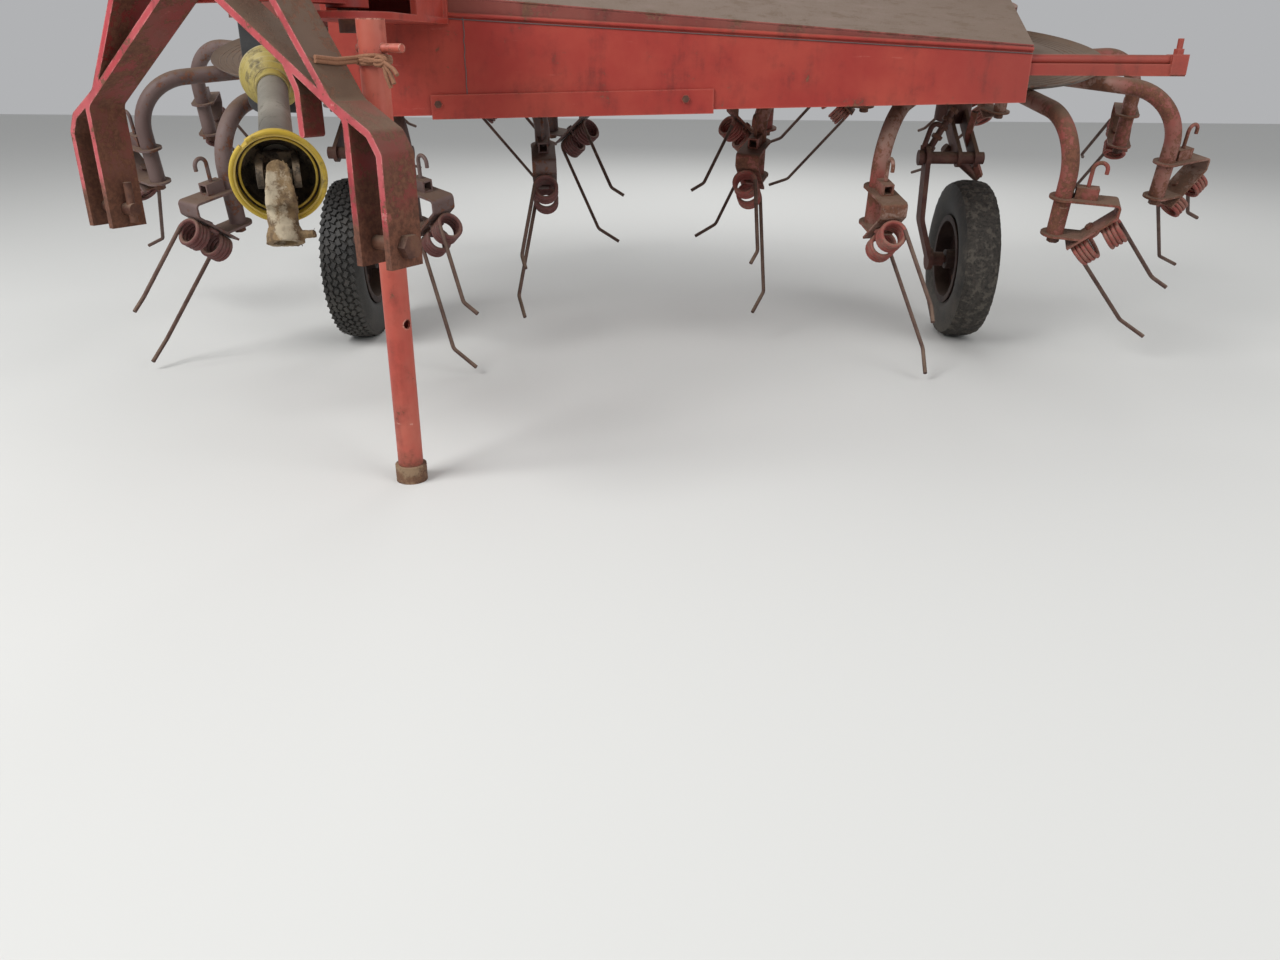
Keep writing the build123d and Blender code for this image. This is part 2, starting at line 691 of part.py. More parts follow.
# Front bracket: two plates and two webs that reach forward to the headstock's pivot
pivot_y = rotor_line_y - pivot_ahead
pivot_point = (pivot_x, pivot_y, 0)
bracket_back = skirt_y - clearance
bracket_low = eye_bottom - running_gap - bracket_sheet
bracket_high = eye_bottom + eye_height + running_gap
with BuildPart() as front_bracket:
    for height in (bracket_low, bracket_high):
        with BuildSketch(Plane.XY.offset(height)):
            with BuildLine():
                Polyline(
                    (pivot_x - bracket_half_width, bracket_back),
                    (pivot_x + bracket_half_width, bracket_back),
                    (pivot_x + bracket_nose, pivot_y),
                    (pivot_x - bracket_nose, pivot_y),
                    close=True,
                )
            make_face()
            with Locations((pivot_x, pivot_y)):
                Circle(bracket_nose)
        extrude(amount=bracket_sheet)
    for side in (-1, 1):
        with BuildSketch(Plane.XY.offset(bracket_low)):
            with BuildLine():
                Line(
                    (pivot_x + side * (bracket_half_width - 14), bracket_back - bracket_sheet / 2),
                    (pivot_x + side * (bracket_nose + 2), pivot_y + 1.6 * bracket_nose),
                )
            trace(line_width=bracket_sheet)
        extrude(amount=bracket_high - bracket_low + bracket_sheet)
    with BuildSketch(Plane.XZ.offset(-bracket_back)):
        with Locations((pivot_x, bracket_low)):
            Rectangle(2 * bracket_half_width, bracket_high - bracket_low + bracket_sheet, align=(Align.CENTER, Align.MIN))
    extrude(amount=bracket_sheet)
    with BuildSketch(Plane.XY.offset(bracket_low - 1)):
        with Locations((pivot_x, pivot_y)):
            Circle(pivot_pin_diameter / 2 + clearance)
    extrude(amount=bracket_high - bracket_low + 2 * bracket_sheet, mode=Mode.SUBTRACT)
save(front_bracket.part, "front_bracket")

with BuildPart() as pivot_pin:
    with BuildSketch(Plane.XY.offset(bracket_low - 22)):
        with Locations((pivot_x, pivot_y)):
            Circle(pivot_pin_diameter / 2)
    extrude(amount=bracket_high - bracket_low + bracket_sheet + 44)
    with BuildSketch(Plane.XY.offset(bracket_high + bracket_sheet + clearance)):
        with Locations((pivot_x, pivot_y)):
            Circle(pivot_pin_diameter / 2 + 12)
    extrude(amount=16)
save(pivot_pin.part, "pivot_pin")

# Headstock frame: X across, Z up, origin on the floor under the pivot
yaw = radians(head_yaw)
across = Vector(cos(yaw), sin(yaw), 0)
ahead = Vector(sin(yaw), -cos(yaw), 0)


def head_point(u, f, z):
    """A point in the machine from its place across, ahead and up in the headstock."""
    return Vector(pivot_x, pivot_y, z) + across * u + ahead * f


mast_plane = Plane(origin=head_point(0, mast_ahead, 0), x_dir=across, z_dir=ahead)
middle_plane = Plane(origin=head_point(0, 0, 0), x_dir=ahead, z_dir=across)

# Each side of the A-frame: a steep outer bar and a brace, both bent down into a clevis
mast_foot = clevis_centre - clevis_gap / 2 - 34
with BuildPart() as side_right:
    with BuildSketch(mast_plane):
        with BuildLine():
            FilletPolyline(
                ((top_link_gap + plate_thickness) / 2, top_link_height + ear_margin),
                ((top_link_gap + plate_thickness) / 2, top_link_height - 24),
                (mast_foot, 628),
                (outer_plate - 17, 588),
                (outer_plate, 560),
                (outer_plate, plate_bottom),
                radius=(20, 30, 14, 12),
            )
        trace(line_width=plate_thickness)
    extrude(amount=bar_width / 2, both=True)
    with BuildSketch(mast_plane):
        with BuildLine():
            FilletPolyline(
                (plate_thickness, apex_height - plate_thickness),
                (inner_plate, 608),
                (inner_plate, plate_bottom),
                radius=20,
            )
        trace(line_width=plate_thickness)
    extrude(amount=bar_width / 2, both=True)
    with BuildSketch(Plane(origin=head_point(inner_plate - 20, mast_ahead, pin_height), z_dir=across)):
        Circle(lower_pin_diameter / 2 + clearance)
    extrude(amount=clevis_gap + 2 * plate_thickness + 40, mode=Mode.SUBTRACT)
    with BuildSketch(Plane(origin=head_point(0, mast_ahead, top_link_height), z_dir=across)):
        Circle(top_pin_diameter / 2 + clearance)
    extrude(amount=top_link_gap, mode=Mode.SUBTRACT)
with BuildPart() as side_left:
    mirror(side_right.part, about=middle_plane)
save(side_left.part, "hitch_side_left")

# The right side also carries a strap under its brace, bent down, where the drive shaft can be hung
brace_fall = (apex_height - plate_thickness - 608) / (inner_plate - plate_thickness)
strap_top = 608 + brace_fall * (inner_plate - strap_across)
strap_plane = mast_plane.offset(bar_width / 2)
with BuildPart() as side_with_strap:
    add(side_right.part)
    with BuildSketch(strap_plane):
        with BuildLine():
            FilletPolyline(
                (strap_across - 20, strap_top + 20 * brace_fall),
                (strap_across, strap_top - 26),
                (strap_across, strap_bottom + plate_thickness / 2),
                radius=24,
            )
        trace(line_width=plate_thickness)
        with Locations((strap_across, strap_bottom + plate_thickness / 2)):
            Circle(plate_thickness / 2)
    extrude(amount=-strap_width)
save(side_with_strap.part, "hitch_side_right")

# Swivel head: eye on the pivot pin, arm out to the mast and a gusset up to the top link ears
eye_top = eye_bottom + eye_height
with BuildPart() as swivel_head:
    with BuildSketch(Plane(origin=head_point(0, 0, eye_bottom), x_dir=across, z_dir=(0, 0, 1))):
        Circle(eye_diameter / 2)
    extrude(amount=eye_height)
    arm_plane = Plane(origin=head_point(0, 0, eye_bottom + 6), x_dir=ahead, z_dir=(0, 0, 1))
    with BuildSketch(arm_plane):
        Rectangle(mast_ahead - bar_width / 2 - clearance, swivel_arm_width, align=(Align.MIN, Align.CENTER))
    extrude(amount=eye_height - 12)
    with BuildSketch(Plane(origin=head_point(0, 0, 0), x_dir=ahead, z_dir=-across)):
        gusset_foot = bracket_nose + bracket_sheet + 14
        with BuildLine():
            Polyline(
                (gusset_foot, eye_top - 10),
                (mast_ahead - bar_width / 2 - clearance, eye_top - 10),
                (mast_ahead - bar_width / 2 - clearance, top_link_height - 40),
                (mast_ahead - bar_width / 2 - 30, top_link_height - 40),
                close=True,
            )
        make_face()
    extrude(amount=7, both=True)
    back_plate = Plane(origin=head_point(0, mast_ahead - bar_width / 2 - clearance, 0), x_dir=across, z_dir=ahead)
    with BuildSketch(back_plate):
        with BuildLine():
            Polyline(
                (-back_plate_half, eye_bottom),
                (back_plate_half, eye_bottom),
                (back_plate_half, eye_top + 10),
                (top_link_gap / 2 + plate_thickness, top_link_height - 24),
                (-top_link_gap / 2 - plate_thickness, top_link_height - 24),
                (-back_plate_half, eye_top + 10),
                close=True,
            )
        make_face()
    extrude(amount=-10)
    with BuildSketch(Plane(origin=head_point(0, 0, eye_bottom - 1), z_dir=(0, 0, 1))):
        Circle(pivot_pin_diameter / 2 + 0.5)
    extrude(amount=eye_height + 2, mode=Mode.SUBTRACT)
save(swivel_head.part, "swivel_head")

# Top link pin with its head
ear_outside = top_link_gap / 2 + plate_thickness
ear_plane = Plane(origin=head_point(0, mast_ahead, top_link_height), x_dir=ahead, z_dir=across)
with BuildPart() as top_pin:
    with BuildSketch(ear_plane.offset(-ear_outside - clearance)):
        Circle(top_pin_diameter / 2)
    extrude(amount=2 * ear_outside + 24)
    with BuildSketch(ear_plane.offset(-ear_outside - clearance)):
        Circle(top_pin_diameter / 2 + 6)
    extrude(amount=-9)
save(top_pin.part, "top_link_pin")

# Lower hitch pins: head outside, upright linch pin through the inner end
for name, side in (("left", -1), ("right", 1)):
    outer = side * (outer_plate + plate_thickness / 2)
    inner = side * (inner_plate - plate_thickness / 2)
    with BuildPart() as hitch_pin:
        with BuildSketch(Plane(origin=head_point(inner - side * 26, mast_ahead, pin_height), z_dir=across * side)):
            Circle(lower_pin_diameter / 2)
        extrude(amount=abs(outer - inner) + 26 + 14)
        with BuildSketch(Plane(origin=head_point(outer + side * clearance, mast_ahead, pin_height), z_dir=across * side)):
            RegularPolygon(19, 6)
        extrude(amount=14)
        linch_place = head_point(inner - side * 15, mast_ahead, pin_height - lower_pin_diameter / 2 - 12)
        with BuildSketch(Plane(origin=linch_place, z_dir=(0, 0, 1))):
            Circle(linch_pin_diameter / 2)
        extrude(amount=linch_pin_height)
    save(hitch_pin.part, f"hitch_pin_{name}")

# Jack sleeve, held by a bent strap on the back edge of the right inner plate
jack_f = mast_ahead - jack_behind
with BuildPart() as jack_sleeve:
    with BuildSketch(Plane(origin=head_point(jack_across, jack_f, sleeve_bottom), x_dir=across, z_dir=(0, 0, 1))):
        Circle(sleeve_diameter / 2)
    extrude(amount=sleeve_top - sleeve_bottom)
    with BuildSketch(Plane(origin=head_point(0, 0, sleeve_bottom + 12), x_dir=across, z_dir=(0, 0, 1))):
        with BuildLine():
            FilletPolyline(
                (jack_across, -jack_f),
                (inner_plate, -jack_f),
                (inner_plate, bar_width / 2 + clearance - mast_ahead),
                radius=plate_thickness,
            )
        trace(line_width=plate_thickness)
    extrude(amount=sleeve_top - sleeve_bottom - 24)
    with BuildSketch(Plane(origin=head_point(jack_across, jack_f, sleeve_bottom - 1), z_dir=(0, 0, 1))):
        Circle(jack_diameter / 2 + 0.5)
    extrude(amount=sleeve_top - sleeve_bottom + 2, mode=Mode.SUBTRACT)
save(jack_sleeve.part, "jack_sleeve")

# Jack leg: tube with a foot, an adjusting hole and the lock pin near its top
with BuildPart() as jack_leg:
    with BuildSketch(Plane(origin=head_point(jack_across, jack_f, 0), x_dir=across, z_dir=(0, 0, 1))):
        Circle(jack_diameter / 2)
    extrude(amount=jack_height)
    with BuildSketch(Plane(origin=head_point(jack_across, jack_f, jack_foot_height), z_dir=(0, 0, 1))):
        Circle(jack_diameter / 2 - jack_wall)
    extrude(amount=jack_height, mode=Mode.SUBTRACT)
    with BuildSketch(Plane(origin=head_point(jack_across, jack_f, 0), z_dir=(0, 0, 1))):
        Circle(jack_foot_diameter / 2)
    extrude(amount=jack_foot_height)
    with BuildSketch(Plane(origin=head_point(jack_across, jack_f, jack_hole_height), z_dir=across)):
        Circle(jack_pin_diameter / 2 + 1)
    extrude(amount=jack_diameter, both=True, mode=Mode.SUBTRACT)
    pin_start = head_point(jack_across - jack_diameter / 2 - 8, jack_f, jack_pin_height)
    with BuildSketch(Plane(origin=pin_start, z_dir=across)):
        Circle(jack_pin_diameter / 2)
    extrude(amount=jack_diameter + 46)
save(jack_leg.part, "jack_leg")

# Drive shaft, along the line between its two joints
shaft_dir = (front - rear).normalized()
shaft_length = (front - rear).length
shaft_side = shaft_dir.cross(Vector(0, 0, 1)).normalized()
shaft_frame = Plane(origin=rear, x_dir=shaft_side, z_dir=shaft_dir)
shaft_section = Plane(origin=rear, x_dir=shaft_side, z_dir=shaft_dir.cross(shaft_side) * -1)
shaft_axis = Axis(rear, shaft_dir)


def along(distance):
    """Plane square to the shaft at a distance from its rear joint."""
    return shaft_frame.offset(distance)


# Guard tube with a bearing ring in each end, a cone at the rear and a deep bell round the front joint
tube_start = yoke_back + 18
tube_end_at = shaft_length - yoke_back - 18
inner_diameter = guard_tube_diameter - 2 * guard_wall - 10
with BuildPart() as guard_tube:
    with BuildSketch(along(tube_start)):
        Circle(guard_tube_diameter / 2)
        Circle(guard_tube_diameter / 2 - guard_wall, mode=Mode.SUBTRACT)
    extrude(amount=tube_end_at - tube_start)
    for ring_start in (tube_start, tube_end_at - bearing_length):
        with BuildSketch(along(ring_start)):
            Circle(guard_tube_diameter / 2 - 1)
            Circle(inner_diameter / 2 + clearance, mode=Mode.SUBTRACT)
        extrude(amount=bearing_length)
save(guard_tube.part, "guard_tube")


def guard_shell(stations):
    """Turned guard: each station is a distance along the shaft and a mid-wall radius."""
    with BuildPart() as shell:
        with BuildSketch(Plane(origin=rear, x_dir=shaft_dir, z_dir=shaft_dir.cross(shaft_side))):
            with BuildLine():
                Polyline(*stations)
            trace(line_width=guard_wall)
        revolve(axis=shaft_axis)
    return shell.part


collar_fit = guard_tube_diameter / 2 + guard_wall / 2 + clearance
bell = guard_shell(
    (
        (tube_end_at - 36, collar_fit),
        (tube_end_at + 2, collar_fit),
        (tube_end_at + 20, bell_diameter * 0.38),
        (shaft_length + 4, bell_diameter / 2 - guard_wall),
        (shaft_length + 9, bell_diameter / 2 + 1),
    )
)
save(bell, "guard_bell_front")
cone = guard_shell(
    (
        (tube_start + 36, collar_fit),
        (tube_start - 2, collar_fit),
        (tube_start - 20, cone_diameter * 0.38),
        (4, cone_diameter / 2),
    )
)
save(cone, "guard_cone_rear")

# Fork of a joint: round-ended ears on a bridge, its pin's axis along X and its base up Z
with BuildPart() as fork:
    for side in (-1, 1):
        with BuildSketch(Plane.YZ.offset(side * yoke_ear)):
            Circle(ear_width / 2)
            with Locations((0, yoke_back)):
                Rectangle(yoke_neck, ear_thickness, align=(Align.CENTER, Align.MAX))
            make_hull()
        extrude(amount=ear_thickness / 2, both=True)
    with BuildSketch(Plane.XY.offset(yoke_back - ear_thickness)):
        Rectangle(2 * yoke_ear, yoke_neck)
    extrude(amount=ear_thickness)
    with BuildSketch(Plane.XY.offset(-ear_width)):
        Circle(sqrt((yoke_ear + ear_thickness / 2) ** 2 + (ear_width / 2) ** 2))
    extrude(amount=ear_width + yoke_back, mode=Mode.INTERSECT)


def fork_place(joint, pin, base):
    """Location of a fork at a joint, from the directions of its pin and of its base."""
    return Plane(origin=joint, x_dir=pin, z_dir=base).location


# Inner shaft with its own forks at both ends
with BuildPart() as inner_shaft:
    with BuildSketch(along(yoke_back - 1)):
        Circle(inner_diameter / 2)
    extrude(amount=shaft_length - 2 * yoke_back + 2)
    with Locations(fork_place(rear, shaft_side, shaft_dir), fork_place(front, shaft_side, -shaft_dir)):
        add(fork.part)
save(inner_shaft.part, "inner_shaft")


def cross_part(centre, other_pin):
    """The four-armed pin of a joint: one bar along the shaft's side, one along the other fork's pin."""
    half = yoke_ear - ear_thickness / 2 - clearance
    with BuildPart() as cross:
        for direction in (shaft_side, other_pin):
            with BuildSketch(Plane(origin=centre, z_dir=direction)):
                Circle(joint_pin_diameter / 2)
            extrude(amount=half, both=True)
    return cross.part


# Front joint: the free yoke hangs down, its splined bore towards the floor
yoke_dir = Vector(0.10, -0.34, -0.935).normalized()
front_pin = shaft_side.cross(yoke_dir).normalized()
save(cross_part(front, front_pin), "front_cross")
yoke_frame = Plane(origin=front, x_dir=front_pin, z_dir=yoke_dir)
with BuildPart() as front_yoke:
    with Locations(yoke_frame.location):
        add(fork.part)
    with BuildSketch(yoke_frame.offset(yoke_back - 2)):
        Circle(yoke_neck / 2)
    extrude(amount=yoke_length - yoke_back + 2)
    with BuildSketch(yoke_frame.offset(yoke_length)):
        Circle(yoke_collar / 2)
    extrude(amount=-yoke_collar_length, taper=8)
    quick_place = front + yoke_dir * (yoke_length - yoke_collar_length / 2)
    with BuildSketch(Plane(origin=quick_place, z_dir=yoke_dir.cross(Vector(0, 1, 0)))):
        Circle(quick_pin_diameter / 2)
    extrude(amount=yoke_collar / 2 + quick_pin_reach)
    with BuildSketch(yoke_frame.offset(yoke_length + 1)):
        Circle(spline_diameter / 2)
    extrude(amount=-(spline_depth + 1), mode=Mode.SUBTRACT)
save(front_yoke.part, "front_yoke")

# Input shaft: from the boss on the gearbox to its own fork at the rear joint
input_plane = plane_a.offset(input_rise)
boss_end = gearbox_width / 2 + 16
input_forward = Vector(0, -cos(tilt), -sin(tilt))
shaft_start = input_plane.from_local_coords((rear.X + rotor_x, -boss_end - clearance, 0))
input_length = (rear - shaft_start).dot(input_forward)
rear_pin = shaft_side.cross(input_forward).normalized()
save(cross_part(rear, rear_pin), "rear_cross")
with BuildPart() as input_shaft:
    with BuildSketch(Plane(origin=shaft_start, z_dir=input_forward)):
        Circle(input_diameter / 2)
    extrude(amount=input_length - yoke_back + 1)
    with Locations(fork_place(rear, rear_pin, -input_forward)):
        add(fork.part)
save(input_shaft.part, "input_shaft")

# Dark shield with rounded lower corners behind the rear guard, hung from the deck's front flange
shield_y = rear.Y + shield_gap
shield_centre_height = rear.Z + shield_gap * tan(tilt)
shield_top = rear.Z + gearbox_length
with BuildPart() as input_shield:
    with BuildSketch(Plane(origin=(0, shield_y, 0), x_dir=(1, 0, 0), z_dir=(0, -1, 0))):
        with BuildLine():
            FilletPolyline(
                (rear.X - shield_width / 2, shield_top),
                (rear.X - shield_width / 2, rear.Z - shield_drop),
                (rear.X + shield_width / 2, rear.Z - shield_drop),
                (rear.X + shield_width / 2, shield_top),
                radius=shield_corner,
            )
            Line((rear.X + shield_width / 2, shield_top), (rear.X - shield_width / 2, shield_top))
        make_face()
        with Locations((rear.X, shield_centre_height)):
            Circle(shield_hole / 2, mode=Mode.SUBTRACT)
    extrude(amount=-shield_sheet)
    split(bisect_by=deck_under, keep=Keep.BOTTOM)
save(input_shield.part, "input_shield")
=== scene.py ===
"""Dress the mounted hay tedder: worn paint, wire springs, tread, guards and small fittings."""

import logging
import math
import random
from dataclasses import dataclass
from enum import Enum
from typing import Callable, Iterable, Sequence

import bmesh
import bpy
from mathutils import Euler, Matrix, Vector, noise


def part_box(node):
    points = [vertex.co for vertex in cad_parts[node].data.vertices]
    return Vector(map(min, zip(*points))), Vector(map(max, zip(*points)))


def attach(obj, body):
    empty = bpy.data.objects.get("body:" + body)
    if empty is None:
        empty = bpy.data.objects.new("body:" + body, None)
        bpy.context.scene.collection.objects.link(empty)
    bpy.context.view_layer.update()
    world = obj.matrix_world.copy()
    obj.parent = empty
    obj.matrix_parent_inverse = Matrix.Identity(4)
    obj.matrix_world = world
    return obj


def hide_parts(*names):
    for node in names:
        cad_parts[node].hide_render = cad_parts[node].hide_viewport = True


LOG = logging.getLogger("tedder")
Colour = tuple[float, float, float]
Triple = tuple[float, float, float]
FaceTest = Callable[[Vector, Vector], bool]

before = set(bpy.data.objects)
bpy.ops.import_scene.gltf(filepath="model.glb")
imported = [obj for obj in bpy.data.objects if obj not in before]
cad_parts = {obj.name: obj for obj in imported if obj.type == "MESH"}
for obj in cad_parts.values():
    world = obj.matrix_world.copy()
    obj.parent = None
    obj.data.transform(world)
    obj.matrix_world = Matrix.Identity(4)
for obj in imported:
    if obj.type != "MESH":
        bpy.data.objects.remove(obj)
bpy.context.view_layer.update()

# Places that repeat the source's sizes, in metres
ROTOR_X = 0.793
ROTOR_Y = 0.333
ROTOR_Z = 0.474
TILT = math.radians(12.4)
WHEEL_RADIUS = 0.2
SKIRT_Y = ROTOR_Y - 0.555
PIVOT = Vector((-0.536, ROTOR_Y - 0.926, 0.0))
YAW = math.radians(-30.0)
ACROSS = Vector((math.cos(YAW), math.sin(YAW), 0.0))
AHEAD = Vector((math.sin(YAW), -math.cos(YAW), 0.0))
SHAFT_FRONT = Vector((-0.614, ROTOR_Y - 1.150, 0.503))
SHAFT_REAR = Vector((-0.820, ROTOR_Y - 0.566, 0.642))
UP = Vector((0.0, 0.0, 1.0))

# Edges sharper than this many degrees stay sharp, and a full circle has this many steps
SMOOTH_ANGLE = 35.0
CIRCLE_STEPS = 96


def head_point(across: float, ahead: float, height: float) -> Vector:
    """Return the machine point for a place across, ahead and up in the headstock.

    Args:
        across: Distance to the right of the pivot, along the mast's plane.
        ahead: Distance in front of the pivot.
        height: Height above the floor.

    Returns:
        The point in the machine's frame.
    """
    return PIVOT + ACROSS * across + AHEAD * ahead + UP * height


class Side(Enum):
    """The two rotors and wheels, as the nodes' names call them."""

    LEFT = "a"
    RIGHT = "b"

    @property
    def sign(self) -> int:
        """Return -1 for the left side and 1 for the right."""
        return -1 if self is Side.LEFT else 1


@dataclass(frozen=True)
class Value:
    """A node socket or a number that takes part in shader arithmetic."""

    tree: "ShaderTree"
    socket: object

    def _math(self, operation: str, *others: object) -> "Value":
        """Add a Math node for this value and the others."""
        return self.tree.node("ShaderNodeMath", {"operation": operation}, dict(enumerate((self, *others))))

    def __add__(self, other: object) -> "Value":
        """Return self + other."""
        return self._math("ADD", other)

    __radd__ = __add__

    def __sub__(self, other: object) -> "Value":
        """Return self - other."""
        return self._math("SUBTRACT", other)

    def __rsub__(self, other: float) -> "Value":
        """Return other - self."""
        return self.tree.node("ShaderNodeMath", {"operation": "SUBTRACT"}, {0: other, 1: self})

    def __mul__(self, other: object) -> "Value":
        """Return self * other."""
        return self._math("MULTIPLY", other)

    __rmul__ = __mul__

    def lowest(self, other: object) -> "Value":
        """Return the lower of self and other."""
        return self._math("MINIMUM", other)

    def highest(self, other: object) -> "Value":
        """Return the higher of self and other."""
        return self._math("MAXIMUM", other)

    def step(self, start: float, end: float) -> "Value":
        """Return 0 below start, 1 above end and a smooth rise between them."""
        settings = {"interpolation_type": "SMOOTHSTEP"}
        inputs = {"Value": self, "From Min": start, "From Max": end}
        return self.tree.node("ShaderNodeMapRange", settings, inputs)


class ShaderTree:
    """A material's node tree, with one method that adds any node."""

    def __init__(self, name: str) -> None:
        """Start a material with only its shader and output.

        Args:
            name: The material's name.
        """
        self.material = bpy.data.materials.new(name)
        self.material.use_nodes = True
        self.nodes = self.material.node_tree.nodes
        self.links = self.material.node_tree.links
        self.shader = self.nodes["Principled BSDF"]
        self.place = self.node("ShaderNodeTexCoord", {}, {}, "Object")

    def node(self, kind: str, settings: dict, inputs: dict, output: int | str = 0) -> Value:
        """Add a node.

        Args:
            kind: The node's type.
            settings: Its properties, set before its sockets.
            inputs: Values or links of its sockets, by name or index.
            output: The output that the result stands for.

        Returns:
            The chosen output as a value.
        """
        node = self.nodes.new(kind)
        for key, value in settings.items():
            setattr(node, key, value)
        for key, value in inputs.items():
            self.feed(node.inputs[key], value)
        return Value(self, node.outputs[output])

    def feed(self, socket: bpy.types.NodeSocket, value: object) -> None:
        """Link a value to a socket, or set the socket's own number or colour.

        Args:
            socket: The input to feed.
            value: A value of this tree, a number, a colour or a vector.
        """
        if isinstance(value, Value):
            self.links.new(value.socket, socket)
        elif isinstance(value, tuple) and len(value) == 3 and socket.type == "RGBA":
            socket.default_value = (*value, 1.0)
        else:
            socket.default_value = value

    def noise(
        self, scale: float, detail: float = 4.0, roughness: float = 0.6, stretch: Triple = (1, 1, 1)
    ) -> Value:
        """Return a noise value over the object's place.

        Args:
            scale: Cells per metre.
            detail: Octaves of finer noise.
            roughness: Strength of the finer octaves.
            stretch: Scale of the place along X, Y and Z.

        Returns:
            The noise, from 0 to 1.
        """
        place = self.node("ShaderNodeMapping", {}, {"Vector": self.place, "Scale": stretch})
        inputs = {"Vector": place, "Scale": scale, "Detail": detail, "Roughness": roughness}
        return self.node("ShaderNodeTexNoise", {}, inputs)

    def mix(self, factor: object, first: object, second: object) -> Value:
        """Return the blend of two colours.

        Args:
            factor: 0 for the first colour, 1 for the second.
            first: Colour or value.
            second: Colour or value.

        Returns:
            The blended colour.
        """
        node = self.nodes.new("ShaderNodeMix")
        node.data_type = "RGBA"
        for key, value in ((0, factor), (6, first), (7, second)):
            self.feed(node.inputs[key], value)
        return Value(self, node.outputs[2])

    def edges(self, radius: float) -> Value:
        """Return a mask of the edges and corners.

        Args:
            radius: How far the mask reaches from an edge, in metres.

        Returns:
            The mask, 0 on flat ground.
        """
        rounded = self.node("ShaderNodeBevel", {"samples": 4}, {"Radius": radius})
        flat = self.node("ShaderNodeNewGeometry", {}, {}, "Normal")
        product = {"operation": "DOT_PRODUCT"}
        same = self.node("ShaderNodeVectorMath", product, {0: rounded, 1: flat}, "Value")
        return 1.0 - same

    def facing_up(self) -> Value:
        """Return how far the surface faces the sky, from -1 to 1."""
        normal = self.node("ShaderNodeNewGeometry", {}, {}, "Normal")
        return self.node("ShaderNodeSeparateXYZ", {}, {"Vector": normal}, "Z")

    def along(self, axis: str) -> Value:
        """Return the place at rest along one of the machine's axes."""
        return self.node("ShaderNodeSeparateXYZ", {}, {"Vector": self.place}, axis)

    def finish(
        self,
        colour: object,
        rough: object,
        bump: Value | None,
        depth: float = 0.001,
        metal: object = 0.0,
    ) -> bpy.types.Material:
        """Connect the surface and return the material.

        Args:
            colour: Base colour.
            rough: Roughness.
            bump: Height of the fine relief, or None.
            depth: Relief in metres.
            metal: Metallic share.

        Returns:
            The finished material.
        """
        for name, value in (("Base Color", colour), ("Roughness", rough), ("Metallic", metal)):
            self.feed(self.shader.inputs[name], value)
        if bump is not None:
            relief = self.node("ShaderNodeBump", {}, {"Height": bump, "Strength": 1.0, "Distance": depth})
            self.feed(self.shader.inputs["Normal"], relief)
        return self.material


def scaled(colour: Colour, factor: float) -> Colour:
    """Return a colour with every channel multiplied by a factor."""
    return tuple(channel * factor for channel in colour)


@dataclass(frozen=True)
class WornPaint:
    """Old gloss paint: faded patches, scratches on edges, rust spots and dust on what faces up.

    Paint below the height rust_below is rusted through, and dust thickens to the right of dusty_from.
    """

    name: str
    slot: str
    colour: Colour
    faded: Colour
    rust: Colour = (0.085, 0.032, 0.018)
    edge: Colour = (0.62, 0.17, 0.15)
    dust_colour: Colour = (0.165, 0.105, 0.066)
    wear: float = 0.5
    rust_share: float = 0.35
    dust: float = 0.6
    gloss: float = 0.42
    rust_below: float = -1.0
    dusty_from: float = 9.0

    def build(self) -> bpy.types.Material:
        """Return the material."""
        tree = ShaderTree(self.name)
        patches = tree.noise(3.2, 5.0, 0.62)
        blotches = tree.noise(17.0, 7.0, 0.68)
        specks = tree.noise(120.0, 5.0, 0.7)
        grain = tree.noise(420.0, 3.0, 0.6)
        streaks = tree.noise(26.0, 5.0, 0.6, (1.0, 1.0, 0.12))
        colour = tree.mix(patches.step(0.38, 0.66), self.colour, self.faded)
        shade = (blotches - 0.5) * 0.5 + (streaks - 0.5) * 0.45
        colour = tree.mix(shade.step(-0.02, 0.22), colour, scaled(self.colour, 0.45))
        edge_mask = (tree.edges(0.006) * 2.4 + (specks - 0.62) * 0.9).step(0.10, 0.42) * self.wear
        colour = tree.mix(edge_mask, colour, self.edge)
        height = tree.along("Z") + (blotches - 0.5) * 0.14
        low = 1.0 - height.step(self.rust_below - 0.02, self.rust_below + 0.02)
        mottle = blotches * 0.62 + specks * 0.38 + edge_mask * 0.10
        spots = mottle.step(0.66 - 0.22 * self.rust_share, 0.69 - 0.19 * self.rust_share)
        chips = spots.highest(low)
        rusty = tree.mix(specks.step(0.35, 0.7), self.rust, scaled(self.rust, 2.1))
        colour = tree.mix(chips, colour, rusty)
        scratches = tree.noise(75.0, 3.0, 0.5, (0.08, 1.0, 1.0)).step(0.705, 0.73) * specks.step(0.4, 0.6)
        colour = tree.mix(scratches * 0.6 * self.wear, colour, self.edge)
        settled = (tree.facing_up() + (blotches - 0.5) * 0.9).step(0.25, 0.95)
        across = tree.along("X") + (patches - 0.5) * 0.5
        far = across.step(self.dusty_from, self.dusty_from + 0.5) * 0.5
        veil = (patches.step(0.3, 0.8) * 0.22).highest(far)
        dusty = (settled.highest(veil) * self.dust).lowest(1.0)
        dust_tone = tree.mix(grain, scaled(self.dust_colour, 0.6), self.dust_colour)
        colour = tree.mix(dusty, colour, dust_tone)
        rough = chips * 0.36 + dusty * 0.4 + blotches * 0.16 + (self.gloss - 0.08)
        relief = chips * -0.35 + grain * 0.12 + blotches * 0.5 + dusty * grain * 0.4
        return tree.finish(colour, rough.lowest(0.95), relief, 0.0009)


